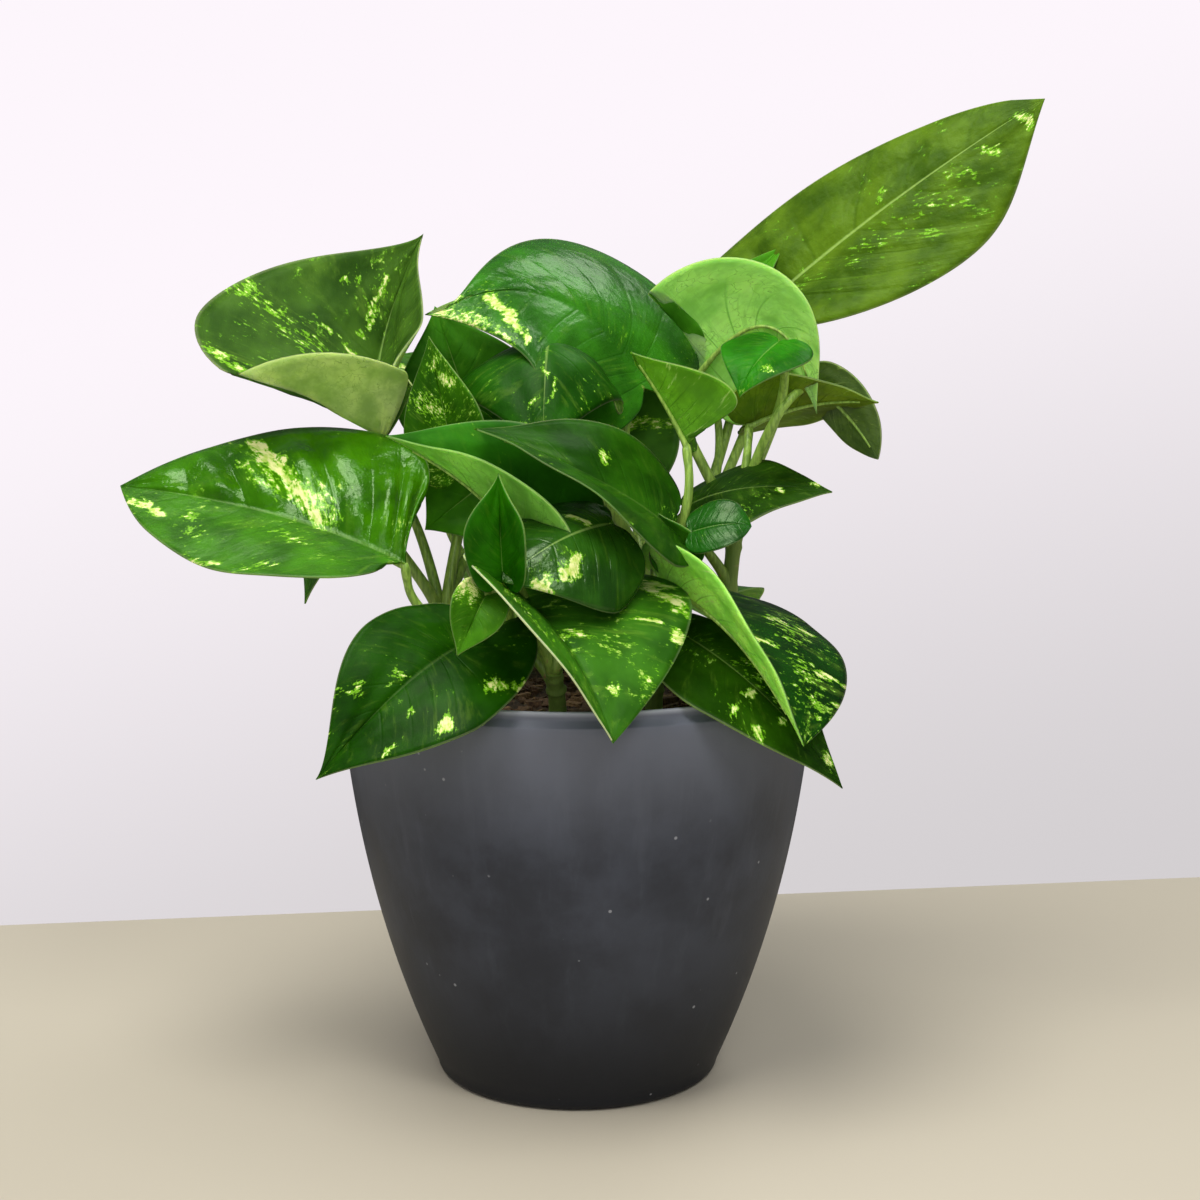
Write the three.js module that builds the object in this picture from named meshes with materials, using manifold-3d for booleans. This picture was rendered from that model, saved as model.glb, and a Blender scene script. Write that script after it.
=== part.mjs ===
// A potted golden pothos: a tapered matt pot with a stepped rim, potting mix, and rooted vines
// whose heart-shaped leaves stand on their own stalks.
// Millimetres, +Z up, origin at the centre of the pot's foot, the plant's best side towards -Y.
import * as THREE from 'three';
import { mergeVertices } from 'three/addons/utils/BufferGeometryUtils.js';
import Module from 'manifold-3d';

const wasm = await Module();
wasm.setup();

// Pot: outside radii and heights
const potHeight = 142.5;
const potFootRadius = 46.5;
const potFootRound = 3.5;
const potBellyLow = [69.8, 48.2];
const potBellyHigh = [79.3, 92.8];
const potShoulder = [82.5, 137.5];
const potLipRadius = 80;
const potChamfer = 2.5;
const potLipRound = 0.7;
const potWall = 4.3;
const potFloor = 6;
const potSegments = 32;
const potOutsideSteps = 7;
const potInsideSteps = 4;

// Potting mix
const soilHeight = 131;
const soilGap = 0.3;
const soilBump = 0.9;
const soilRings = 5;
const soilWave = { along: 0.21, across: 0.17, fine: 0.31, slant: 0.12 };

// Vines and leaf stalks
const rootDepth = 12;
const rootCollar = 2.5;
const holeGap = 0.4;
const vineRadius = 3;
const vineSteps = 4;
const vineTaper = 0.04;
const vineLean = { low: 0.5, side: 0.7, high: 0.8 };
const stalkFootRadius = 2.2;
const stalkTopRadius = 1.4;
const stalkSides = 5;
const stalkSteps = 4;
const stalkBend = 7;
const stalkHandle = 0.35;
const stalkSink = 0.75;
const stalkLeave = 0.8;
const stalkArrive = { along: 0.4, up: 0.9 };
const keelEnd = 0.16;
const keelEndRadius = 0.7;

// Leaf blades: the outline is drawn on a heart one long and one wide each side of the midrib
const bladeThickness = 0.8;
const widestX = [0.28, 0.28];
const widestU = 0.3;
const lobeNotch = [0.42, 0.42];
const lobeHandle = 0.8;
const sinusHandle = 0.18;
const shoulderHandle = 0.27;
const tipHandle = 0.8;
const tipFullness = [0.22, 0.22];
const veinCrowding = 1.6;
const veinLead = 0.35;
const veinSpread = [0.25, 0.55];
const bladeRows = [0, 0.08, 0.19, 0.34, 0.52, 0.7, 0.86];
const bladeColumns = [-1, -0.7, -0.36, 0, 0.36, 0.7, 1];
const smallLeafWidth = 48;
const smallBladeRows = [0, 0.13, 0.3, 0.52, 0.72, 0.88];
const smallBladeColumns = [-1, -0.55, 0, 0.55, 1];
const lobeBendLength = 0.08;
const lobeBendSteps = 6;
const curlSteps = 10;
const leastSide = 0.2;

// Each leaf has the joint where its stalk meets the blade, its tip, the way its upper face looks
// and its width. Angles are degrees: rise and drop are how steeply the midrib leaves the joint and
// comes down to the tip, cup lifts the lobes behind the joint, twist rolls the blade about its
// midrib towards the tip, and left and right give how each half folds up from the midrib and then
// curls, as fold and curl at the joint, then fold and curl at the tip.
// Pairs give the left half, then the right. Lobe is how far each lobe reaches back past the joint,
// as a share of the length, and where a leaf gives them, notch is how far from the midrib it ends,
// wide is where the outline is widest and blunt how full it is at the tip.
// Bow bends the midrib sideways in millimetres, skew makes the left half the wider one, and arrive
// is the way the stalk comes into the joint. Node is how far up the vine the stalk leaves it.
const vines = [
  // A heart leaf over the rim, a long quilted leaf to the left and a small bright one
  {
    name: 'vine_front_left', root: [-30, -34], top: [-32, -42, 153],
    leaves: [
      { joint: [-37, -66, 161], tip: [-79, -92, 124], face: [-0.2, -0.8, 0.55], width: 52, rise: 25,
        drop: 15, left: [10, -25, 10, -10], right: [18, -20, 38, -15], skew: 0.12, lobe: [0.42, 0.16],
        notch: [0.05, 0.5], blunt: [0.3, 0.08], node: 0.4 },
      { joint: [-55, -46, 185], tip: [-153, -20, 208], face: [-0.1, -0.4, 0.9], width: 80, rise: 14,
        drop: 10, left: [24, 0, -6, -10], right: [34, -20, 20, -10], skew: -0.08, lobe: [-0.04, -0.05],
        blunt: [0.75, 0.5], node: 0.8 },
      { joint: [-28, -75, 178], tip: [-36, -84, 161], face: [0.3, -0.6, 0.7], width: 20, rise: 40,
        drop: 10, left: [30, 10, 20, 0], right: [30, 10, 20, 0], lobe: [0.1, 0.1], node: 1 },
    ],
  },
  // The leaf over the rim, a young folded leaf, a glossy dome and a long folded leaf
  {
    name: 'vine_front', root: [-6, -40], top: [-7, -48, 150],
    leaves: [
      { joint: [-20, -52, 177], tip: [12, -100, 137], face: [0.2, -0.55, 0.8], width: 80, rise: 25,
        drop: 30, left: [7, -20, 6, 0], right: [50, -20, 40, 0], skew: 0.25, lobe: [0, 0.05],
        blunt: [0.5, 0.22], node: 0.5 },
      { joint: [-22, -75, 184], tip: [-23, -80, 217], face: [-0.2, -0.95, 0], width: 25, rise: 5,
        drop: 5, left: [40, -10, 40, 0], right: [40, -10, 40, 0], wide: [0.42, 0.42],
        lobe: [0.1, 0.1], node: 0.8 },
      { joint: [11, -55, 199], tip: [-22, -78, 183], face: [-0.1, -0.75, 0.65], width: 58, rise: 25,
        drop: 30, left: [-5, -60, -10, -40], right: [5, -60, -10, -40], lobe: [0.15, 0.15],
        blunt: [0.5, 0.5], node: 1 },
      { joint: [-16, -42, 180], tip: [-60, -55, 227], face: [0.4, -0.2, 0.9], width: 64, rise: 38,
        drop: 20, left: [42, 10, 40, 0], right: [66, -10, 50, 0], skew: -0.12, lobe: [0.05, 0.1],
        arrive: [0.2, -0.2, 0.95], node: 0.5 },
    ],
  },
  // Two leaves over the rim, the long dark leaf across the middle, a small round one and a young one
  {
    name: 'vine_front_right', root: [26, -32], top: [28, -40, 152],
    leaves: [
      { joint: [37, -41, 160], tip: [85, -70, 116], face: [0.1, -0.6, 0.8], width: 46, rise: 20,
        drop: 20, left: [0, -20, 0, 0], right: [20, -10, 15, 0], skew: -0.25, lobe: [0.15, 0.15],
        node: 0.35 },
      { joint: [27, -34, 178], tip: [71, -85, 133], face: [0.47, -0.48, 0.7], width: 74, rise: 25,
        drop: 20, left: [-6, -12, -5, -5], right: [58, 10, 50, 10], skew: 0.45, lobe: [0.1, 0.05],
        blunt: [0.9, 0.5], arrive: [0.2, -0.6, 0.75], node: 0.7 },
      { joint: [31, -40, 196], tip: [-32, -52, 229], face: [0.3, -0.5, 0.8], width: 62, rise: 15,
        drop: 10, left: [20, -20, 30, 0], right: [10, -20, 5, 0], lobe: [0.1, 0.02], node: 1 },
      { joint: [38, -42, 195], tip: [57, -46, 197], face: [0.1, -0.75, 0.65], width: 20, rise: 20,
        drop: 40, left: [10, -30, 5, 0], right: [10, -30, 5, 0], blunt: [1, 1], lobe: [0.1, 0.1],
        node: 0.95 },
      { joint: [35, -34, 185], tip: [27, -41, 201], face: [-0.2, -0.9, 0.2], width: 20, rise: 10,
        drop: 10, left: [30, 0, 20, 0], right: [30, 0, 20, 0], lobe: [0.1, 0.1],
        arrive: [0, -0.3, 0.95], node: 0.6 },
    ],
  },
  // A leaf seen from below, the broad top leaf and a domed leaf
  {
    name: 'vine_middle', root: [20, -10], top: [24, -14, 172],
    leaves: [
      { joint: [37, -25, 222], tip: [18, -35, 253], face: [0.2, 0.9, 0.4], width: 44, rise: 15,
        drop: 10, left: [10, 10, 5, 0], right: [80, 0, 60, 0], lobe: [-0.08, 0.1], wide: [0.22, 0.28],
        notch: [0.15, 0.42], arrive: [-0.1, 0.2, 0.97], node: 0.6 },
      { joint: [23, 12, 240], tip: [-51, -9, 265], face: [0, -0.75, 0.65], width: 94, rise: 25,
        drop: 25, bow: -24, left: [0, -20, 5, 0], right: [5, -20, -8, -35], wide: [0.3, 0.3],
        blunt: [0.4, -0.25], lobe: [0.1, 0.08], node: 0.8 },
      { joint: [-9, 8, 252], tip: [-11, -32, 219], face: [0, -0.3, 0.95], width: 84, rise: 80,
        drop: 35, left: [-4, -92, -10, -60], right: [0, -75, -5, -50], skew: -0.1,
        lobe: [0.05, 0.05], node: 1 },
    ],
  },
  // Leaves at the right, one of them seen from below
  {
    name: 'vine_right', root: [52, 10], top: [56, 12, 192],
    leaves: [
      { joint: [39, 0, 200], tip: [86, -20, 206], face: [0, -0.35, 0.95], width: 48, rise: 22, drop: 16,
        left: [10, -20, 5, 0], right: [-10, -20, -10, 0], skew: -0.1, lobe: [0.12, 0.12], node: 0.5 },
      { joint: [43, 21, 244], tip: [83, 4, 231], face: [0.1, 0.85, 0.4], width: 58, rise: 30, drop: 20,
        bow: -32, left: [0, -10, 0, 0], right: [0, -20, 0, 0], skew: -0.1, wide: [0.1, 0.1],
        blunt: [0.12, 0.1], lobe: [0.1, -0.14], node: 0.8 },
      { joint: [68, -12, 256], tip: [54, -28, 238], face: [-0.2, -0.6, 0.8], width: 32, rise: 20,
        drop: 40, left: [10, -30, 5, 0], right: [10, -30, 5, 0], lobe: [0.1, 0.1], node: 0.95 },
      { joint: [60, 15, 227], tip: [104, 2, 235], face: [0.1, 0.5, 0.8], width: 36, rise: 20, drop: 20,
        left: [20, 0, 5, 0], right: [20, 0, 5, 0], lobe: [0.1, 0.1], node: 0.9 },
      { joint: [82, 12, 242], tip: [105, 8, 215], face: [0.5, 0.6, 0.3], width: 24, rise: 20, drop: 20,
        left: [20, 0, 5, 0], right: [20, 0, 5, 0], lobe: [0.1, 0.1], blunt: [0.8, 0.8], node: 1 },
    ],
  },
  // The tallest leaf and those behind it
  {
    name: 'vine_back_right', root: [36, 40], top: [40, 42, 170],
    leaves: [
      { joint: [64, 42, 265], tip: [162, 20, 339], face: [-0.35, -0.7, 0.6], width: 70, rise: 8,
        drop: 8, left: [10, -20, -10, 0], right: [24, -10, -10, 0], skew: -0.02, twist: 20,
        lobe: [0.25, -0.04], notch: [0.8, 0.3], wide: [0, 0.48], blunt: [0.66, 0.6], node: 0.8 },
      { joint: [52, 50, 262], tip: [75, 45, 290], face: [-0.35, -0.7, 0.6], width: 22, rise: 8, drop: 8,
        left: [15, -15, 10, 0], right: [15, -15, 10, 0], lobe: [0.12, 0.12], node: 1 },
      { joint: [50, 60, 236], tip: [82, 105, 232], face: [0.1, 0.5, 0.8], width: 62, rise: 25, drop: 25,
        left: [12, -30, 5, 0], right: [12, -30, 5, 0], lobe: [0.2, 0.2], node: 0.6 },
      { joint: [34, 66, 158], tip: [64, 112, 136], face: [0.1, 0.4, 0.9], width: 60, rise: 30, drop: 30,
        left: [12, -30, 5, 0], right: [12, -30, 5, 0], lobe: [0.2, 0.2], node: 0.3 },
    ],
  },
  // The leaf rolled like a funnel, and those round it
  {
    name: 'vine_left', root: [-44, 2], top: [-46, 0, 160],
    leaves: [
      { joint: [-67, -5, 224], tip: [-56, 46, 294], face: [0.55, -0.7, 0.43], width: 99, rise: -25,
        drop: -15, bow: 4, left: [15, -20, 5, -45], right: [100, 20, 80, 0], skew: 0.36,
        blunt: [0.1, 0.08], lobe: [0.36, 0.3], notch: [0.1, 0.1], cup: 90, node: 0.8 },
      { joint: [-66, 2, 213], tip: [-94, -5, 166], face: [-0.7, -0.4, 0.6], width: 60, rise: 50,
        drop: 20, left: [0, -20, 0, 0], right: [0, -20, 0, 0], lobe: [0.1, 0.1], node: 0.6 },
      { joint: [-40, -13, 213], tip: [-49, -19, 258], face: [-0.2, -0.95, 0.2], width: 30, rise: 10,
        drop: 10, left: [20, 0, 10, 0], right: [30, 0, 10, 0], lobe: [0.1, 0.1], node: 0.9 },
      { joint: [-22, 6, 214], tip: [-52, -8, 192], face: [0.2, -0.9, 0.4], width: 60, rise: 20,
        drop: 10, left: [10, -10, 5, 0], right: [10, -10, 5, 0], lobe: [0.1, 0.1], node: 1 },
    ],
  },
  // Leaves behind at the left
  {
    name: 'vine_back_left', root: [-26, 36], top: [-30, 40, 162],
    leaves: [
      { joint: [-36, 23, 226], tip: [-50, 20, 268], face: [-0.1, -0.9, 0.3], width: 50, rise: 10,
        drop: 10, left: [10, -10, 5, 0], right: [10, -10, 5, 0], lobe: [0.1, 0.1], node: 0.8 },
      { joint: [-26, 56, 214], tip: [-48, 102, 200], face: [-0.1, 0.5, 0.85], width: 64, rise: 25,
        drop: 25, left: [12, -30, 5, 0], right: [12, -30, 5, 0], lobe: [0.2, 0.2], node: 0.6 },
      { joint: [-52, 46, 207], tip: [-98, 78, 192], face: [-0.3, 0.3, 0.9], width: 66, rise: 25,
        drop: 25, left: [12, -30, 5, 0], right: [12, -30, 5, 0], lobe: [0.2, 0.2], node: 0.4 },
      { joint: [-46, 55, 236], tip: [-78, 92, 248], face: [-0.3, 0.3, 0.9], width: 58, rise: 25,
        drop: 25, left: [12, -30, 5, 0], right: [12, -30, 5, 0], lobe: [0.2, 0.2], node: 1 },
    ],
  },
  // Leaves behind
  {
    name: 'vine_back', root: [4, 54], top: [4, 60, 158],
    leaves: [
      { joint: [-4, 36, 207], tip: [26, 58, 262], face: [0, -0.8, 0.6], width: 70, rise: 20, drop: 20,
        left: [12, -20, 5, 0], right: [12, -20, 5, 0], lobe: [0.2, 0.2], node: 0.8 },
      { joint: [3, 76, 228], tip: [4, 124, 216], face: [0, 0.3, 0.95], width: 58, rise: 30, drop: 30,
        left: [12, -30, 5, 0], right: [12, -30, 5, 0], lobe: [0.2, 0.2], node: 1 },
      { joint: [-12, 72, 166], tip: [-26, 120, 138], face: [0, 0.4, 0.9], width: 66, rise: 30, drop: 30,
        left: [12, -30, 5, 0], right: [12, -30, 5, 0], lobe: [0.2, 0.2], node: 0.5 },
    ],
  },
];

// Solids from geometry and back
function solidOf(geometry) {
  const bare = geometry.clone();
  bare.deleteAttribute('normal');
  bare.deleteAttribute('uv');
  const merged = mergeVertices(bare, 1e-4);
  return new wasm.Manifold(new wasm.Mesh({
    numProp: 3,
    vertProperties: new Float32Array(merged.attributes.position.array),
    triVerts: new Uint32Array(merged.index.array),
  }));
}

function geometryOf(solid) {
  const mesh = solid.getMesh();
  const geometry = new THREE.BufferGeometry();
  geometry.setAttribute('position', new THREE.BufferAttribute(new Float32Array(mesh.vertProperties), 3));
  geometry.setIndex(new THREE.BufferAttribute(new Uint32Array(mesh.triVerts), 1));
  geometry.computeVertexNormals();
  return geometry;
}

// Pot: one closed profile turned about the axis
function potOutside(height) {
  const foot = [potFootRadius + potFootRound, potFootRound];
  const t = (height - foot[1]) / (potShoulder[1] - foot[1]);
  const s = 1 - t;
  return foot[0] * s ** 3 + 3 * potBellyLow[0] * s * s * t + 3 * potBellyHigh[0] * s * t * t
    + potShoulder[0] * t ** 3;
}

// The inside is drawn with fewer rings; between them it runs straight
const insideRings = Array.from({ length: potInsideSteps + 1 }, (_, i) => {
  const height = potFloor + (potShoulder[1] - potFloor) * (i / potInsideSteps);
  return [potOutside(height) - potWall, height];
});

function potInside(height) {
  const i = Math.min(insideRings.findLastIndex((ring) => ring[1] <= height), potInsideSteps - 1);
  const [[r0, h0], [r1, h1]] = [insideRings[i], insideRings[i + 1]];
  return r0 + ((r1 - r0) * (height - h0)) / (h1 - h0);
}

function potProfile() {
  const points = [[0, 0], [potFootRadius, 0]];
  points.push([potFootRadius + potFootRound * Math.SQRT1_2, potFootRound * (1 - Math.SQRT1_2)]);
  for (let i = 0; i <= potOutsideSteps; i++) {
    const height = potFootRound + (potShoulder[1] - potFootRound) * (i / potOutsideSteps);
    points.push([potOutside(height), height]);
  }
  points.push([potLipRadius, potShoulder[1] + potChamfer]);
  points.push([potLipRadius, potHeight - potLipRound], [potLipRadius - potLipRound, potHeight]);
  const mouth = potInside(potShoulder[1]);
  points.push([mouth + potLipRound, potHeight], [mouth, potHeight - potLipRound]);
  points.push(...insideRings.slice().reverse(), [0, potFloor]);
  return points.map(([radius, height]) => new THREE.Vector2(radius, height));
}

function turned(profile, segments) {
  return new THREE.LatheGeometry(profile, segments).rotateX(Math.PI / 2);
}

// Potting mix: it fills the pot to just under the rim, with a gently uneven top
function soilTop(x, y) {
  const broad = Math.sin(x * soilWave.along + 1) * Math.cos(y * soilWave.across);
  const fine = Math.sin(y * soilWave.fine + x * soilWave.slant) / 2;
  return soilHeight + soilBump * (broad + fine);
}

function soilGeometry() {
  const heights = [...insideRings.map((ring) => ring[1]).filter((h) => h < soilHeight), soilHeight];
  const points = [[0, potFloor], ...heights.map((height) => [potInside(height) - soilGap, height])];
  const edge = points[points.length - 1][0];
  for (let i = soilRings - 1; i >= 0; i--) {
    points.push([edge * (i / soilRings), soilHeight]);
  }
  const geometry = turned(points.map(([r, h]) => new THREE.Vector2(r, h)), potSegments);
  const position = geometry.attributes.position;
  for (let i = 0; i < position.count; i++) {
    const radius = Math.hypot(position.getX(i), position.getY(i));
    if (position.getZ(i) > soilHeight - 0.01 && radius < edge - 1) {
      position.setZ(i, soilTop(position.getX(i), position.getY(i)));
    }
  }
  return geometry;
}

// A closed tube through points, with a radius at each; its first ring starts from a fixed direction
function tubeGeometry(points, radii, sides = stalkSides) {
  const vertices = [];
  const faces = [];
  let normal = new THREE.Vector3(1, 0, 0);
  points.forEach((point, i) => {
    const before = points[Math.max(i - 1, 0)];
    const after = points[Math.min(i + 1, points.length - 1)];
    const tangent = after.clone().sub(before).normalize();
    normal = normal.clone().addScaledVector(tangent, -normal.dot(tangent)).normalize();
    const binormal = tangent.clone().cross(normal);
    for (let k = 0; k < sides; k++) {
      const angle = (2 * Math.PI * k) / sides;
      const p = point.clone().addScaledVector(normal, radii[i] * Math.cos(angle));
      p.addScaledVector(binormal, radii[i] * Math.sin(angle));
      vertices.push(p.x, p.y, p.z);
    }
  });
  const last = (points.length - 1) * sides;
  for (let i = 0; i < points.length - 1; i++) {
    for (let k = 0; k < sides; k++) {
      const a = i * sides + k;
      const b = i * sides + ((k + 1) % sides);
      faces.push(a, b, b + sides, a, b + sides, a + sides);
    }
  }
  for (let k = 1; k < sides - 1; k++) {
    faces.push(0, k + 1, k);
    faces.push(last, last + k, last + k + 1);
  }
  const geometry = new THREE.BufferGeometry();
  geometry.setAttribute('position', new THREE.Float32BufferAttribute(vertices, 3));
  geometry.setIndex(faces);
  return geometry;
}

// Blade laid flat: x runs from the joint to the tip, y from the midrib to the widest place
const cubic = (a, b, c, d, t) => {
  const s = 1 - t;
  return a * s ** 3 + 3 * b * t * s * s + 3 * c * t * t * s + d * t ** 3;
};
const mix = THREE.MathUtils.lerp;

function halfShape(leaf, half) {
  const { lobe, notch = lobeNotch, wide = widestX, blunt = tipFullness } = leaf;
  return { lobe: lobe[half], notch: notch[half], wide: wide[half], blunt: blunt[half] };
}

function marginPoint(u, half) {
  const { lobe, notch, wide, blunt } = half;
  if (u < widestU) {
    const t = u / widestU;
    const handle = Math.max(wide - sinusHandle, -lobe);
    return [cubic(-lobe, -lobe, handle, wide, t), cubic(notch, lobeHandle, 1, 1, t)];
  }
  const t = (u - widestU) / (1 - widestU);
  return [cubic(wide, wide + shoulderHandle, tipHandle, 1, t), cubic(1, 1, blunt, 0, t)];
}

// A row follows a side vein from the midrib, at t = 0, out to the margin, at t = 1
function veinPoint(u, t, half) {
  const [edgeX, edgeY] = marginPoint(u, half);
  const foot = u ** veinCrowding;
  const forward = Math.min(1, u / widestU);
  const middleX = foot + mix(1, veinLead, forward) * (edgeX - foot);
  const middleY = mix(...veinSpread, forward) * edgeY;
  const [a, b, c] = [(1 - t) ** 2, 2 * t * (1 - t), t * t];
  return [a * foot + b * middleX + c * edgeX, b * middleY + c * edgeY];
}

// The midrib as a curve, with its direction and the way its upper side looks
function midrib(leaf, x) {
  const joint = new THREE.Vector3(...leaf.joint);
  const along = new THREE.Vector3(...leaf.tip).sub(joint);
  const chord = along.length();
  along.normalize();
  const up = new THREE.Vector3(...leaf.face);
  up.addScaledVector(along, -up.dot(along)).normalize();
  const aside = up.clone().cross(along);
  const rise = THREE.MathUtils.degToRad(leaf.rise);
  const drop = THREE.MathUtils.degToRad(leaf.drop);
  const handle = chord / (3 * Math.cos((rise + drop) / 4) ** 2);
  const bow = leaf.bow ?? 0;
  const ends = [
    new THREE.Vector3(0, 0, 0),
    new THREE.Vector3(handle * Math.cos(rise), bow, handle * Math.sin(rise)),
    new THREE.Vector3(chord - handle * Math.cos(drop), bow, handle * Math.sin(drop)),
    new THREE.Vector3(chord, 0, 0),
  ];
  const curve = new THREE.CubicBezierCurve3(...ends);
  const turn = (d) => along.clone().multiplyScalar(d.x).addScaledVector(aside, d.y).addScaledVector(up, d.z);
  const share = THREE.MathUtils.clamp(x, 0, 1);
  const tangent = turn(curve.getTangent(share));
  const point = turn(curve.getPoint(share)).add(joint);
  const side = up.clone().cross(tangent);
  if (side.length() < leastSide) {
    side.copy(aside);
  }
  side.addScaledVector(tangent, -side.dot(tangent)).normalize();
  const roll = THREE.MathUtils.degToRad((leaf.twist ?? 0) * Math.max(x, 0));
  side.applyAxisAngle(tangent, roll);
  let upward = tangent.clone().cross(side);
  if (x < 0) {
    const length = -x * curve.getLength();
    const cup = THREE.MathUtils.degToRad(leaf.cup ?? 0);
    const back = new THREE.Vector3();
    const bends = length / (lobeBendLength * chord);
    for (let i = 0; i < lobeBendSteps; i++) {
      const angle = cup * Math.min(1, ((i + 0.5) / lobeBendSteps) * bends);
      back.addScaledVector(tangent, (-Math.cos(angle) * length) / lobeBendSteps);
      back.addScaledVector(upward, (Math.sin(angle) * length) / lobeBendSteps);
    }
    const end = cup * Math.min(1, bends);
    const bent = tangent.clone().multiplyScalar(Math.cos(end)).addScaledVector(upward, -Math.sin(end));
    upward = upward.clone().multiplyScalar(Math.cos(end)).addScaledVector(tangent, Math.sin(end));
    return { point: point.add(back), tangent: bent, side, upward };
  }
  return { point, tangent, side, upward };
}

// One point of the bent blade: v runs from the right margin, -1, over the midrib to the left one, 1
function bladePoint(leaf, u, v) {
  const isLeft = v >= 0;
  const [x, y] = veinPoint(u, Math.abs(v), halfShape(leaf, isLeft ? 0 : 1));
  const rib = midrib(leaf, x);
  const [foldIn, curlIn, foldOut, curlOut] = isLeft ? leaf.left : leaf.right;
  const reach = 1 - (1 - THREE.MathUtils.clamp(x, 0, 1)) ** 2;
  const fold = mix(foldIn, foldOut, reach);
  const curl = mix(curlIn, curlOut, reach);
  const width = (leaf.width / 2) * (1 + (leaf.skew ?? 0) * (isLeft ? 1 : -1));
  let out = 0;
  let lift = 0;
  for (let i = 0; i < curlSteps; i++) {
    const angle = THREE.MathUtils.degToRad(fold + (curl * y * (i + 0.5)) / curlSteps);
    out += (Math.cos(angle) * width * y) / curlSteps;
    lift += (Math.sin(angle) * width * y) / curlSteps;
  }
  return rib.point.addScaledVector(rib.side, isLeft ? out : -out).addScaledVector(rib.upward, lift);
}

// A thin closed blade: the same triangles above and below, joined round the margin
function bladeGeometry(leaf) {
  const small = leaf.width < smallLeafWidth;
  const rows = small ? smallBladeRows : bladeRows;
  const across = small ? smallBladeColumns : bladeColumns;
  const columns = across.length;
  const middle = (columns - 1) / 2;
  const points = rows.flatMap((u) => across.map((v) => bladePoint(leaf, u, v)));
  const tip = points.length;
  points.push(bladePoint(leaf, 1, 0));
  const faces = [];
  for (let i = 0; i < rows.length; i++) {
    for (let j = 0; j < columns - 1; j++) {
      const a = i * columns + j;
      if (i === rows.length - 1) {
        faces.push([a, tip, a + 1]);
      } else if (j >= middle) {
        faces.push([a, a + columns, a + columns + 1], [a, a + columns + 1, a + 1]);
      } else {
        faces.push([a, a + columns, a + 1], [a + columns, a + columns + 1, a + 1]);
      }
    }
  }
  const sheet = new THREE.BufferGeometry().setFromPoints(points);
  sheet.setIndex(faces.flat());
  sheet.computeVertexNormals();
  const normals = sheet.attributes.normal;
  const vertices = [];
  [1, -1].forEach((face) => {
    points.forEach((point, i) => {
      const offset = (face * bladeThickness) / 2;
      const p = point.clone().addScaledVector(new THREE.Vector3().fromBufferAttribute(normals, i), offset);
      vertices.push(p.x, p.y, p.z);
    });
  });
  const count = points.length;
  const indices = faces.flat();
  faces.forEach(([a, b, c]) => indices.push(count + a, count + c, count + b));
  const rowStart = rows.map((_, i) => i * columns);
  const sinus = Array.from({ length: columns - 1 }, (_, j) => j);
  const leftMargin = rowStart.map((start) => start + columns - 1);
  const rightMargin = rowStart.slice(1).reverse();
  const loop = [...sinus, ...leftMargin, tip, ...rightMargin];
  loop.forEach((a, i) => {
    const b = loop[(i + 1) % loop.length];
    indices.push(a, b, b + count, a, b + count, a + count);
  });
  const geometry = new THREE.BufferGeometry();
  geometry.setAttribute('position', new THREE.Float32BufferAttribute(vertices, 3));
  geometry.setIndex(indices);
  return geometry;
}

// The vine from its root to its top
function vineCurve(vine) {
  const [x, y] = vine.root;
  return new THREE.CubicBezierCurve3(
    new THREE.Vector3(x, y, soilHeight + rootCollar),
    new THREE.Vector3(x, y, mix(soilHeight, vine.top[2], vineLean.low)),
    new THREE.Vector3(
      mix(x, vine.top[0], vineLean.side),
      mix(y, vine.top[1], vineLean.side),
      mix(soilHeight, vine.top[2], vineLean.high),
    ),
    new THREE.Vector3(...vine.top),
  );
}

function vineTube(vine) {
  const [x, y] = vine.root;
  const points = [new THREE.Vector3(x, y, soilHeight - rootDepth), ...vineCurve(vine).getPoints(vineSteps)];
  return tubeGeometry(points, points.map((_, i) => vineRadius * (i < 2 ? 1 : 1 - vineTaper * i)));
}

function rootHole(vine) {
  const [x, y] = vine.root;
  const bottom = new THREE.Vector3(x, y, soilHeight - rootDepth - holeGap);
  const above = new THREE.Vector3(x, y, potHeight);
  return tubeGeometry([bottom, above], [vineRadius + holeGap, vineRadius + holeGap]);
}

// A stalk leaves the vine, bends in below the joint and runs on as the keel under the midrib
function stalkTube(vine, leaf) {
  const curve = vineCurve(vine);
  const start = curve.getPoint(leaf.node);
  const rib = midrib(leaf, 0);
  const joint = rib.point.clone().addScaledVector(rib.upward, -stalkSink * stalkTopRadius);
  const arrive = leaf.arrive
    ? new THREE.Vector3(...leaf.arrive)
    : rib.tangent.clone().multiplyScalar(stalkArrive.along).addScaledVector(rib.upward, stalkArrive.up);
  arrive.normalize();
  const below = joint.clone().addScaledVector(arrive, -stalkBend);
  const distance = below.distanceTo(start);
  const leave = curve.getTangent(leaf.node).multiplyScalar(stalkLeave);
  leave.addScaledVector(below.clone().sub(start).normalize(), stalkLeave).normalize();
  const path = new THREE.CubicBezierCurve3(
    start,
    start.clone().addScaledVector(leave, distance * stalkHandle),
    below.clone().addScaledVector(arrive, -distance * stalkHandle),
    below,
  );
  const points = path.getPoints(stalkSteps);
  const radii = points.map((_, i) => mix(stalkFootRadius, stalkTopRadius, i / stalkSteps));
  const under = midrib(leaf, keelEnd);
  points.push(joint, under.point.addScaledVector(under.upward, -stalkSink * keelEndRadius));
  radii.push(stalkTopRadius, keelEndRadius);
  return tubeGeometry(points, radii);
}

function vineSolid(vine) {
  let solid = solidOf(vineTube(vine));
  vine.leaves.forEach((leaf) => {
    solid = solid.add(solidOf(stalkTube(vine, leaf))).add(solidOf(bladeGeometry(leaf)));
  });
  return solid;
}

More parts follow.
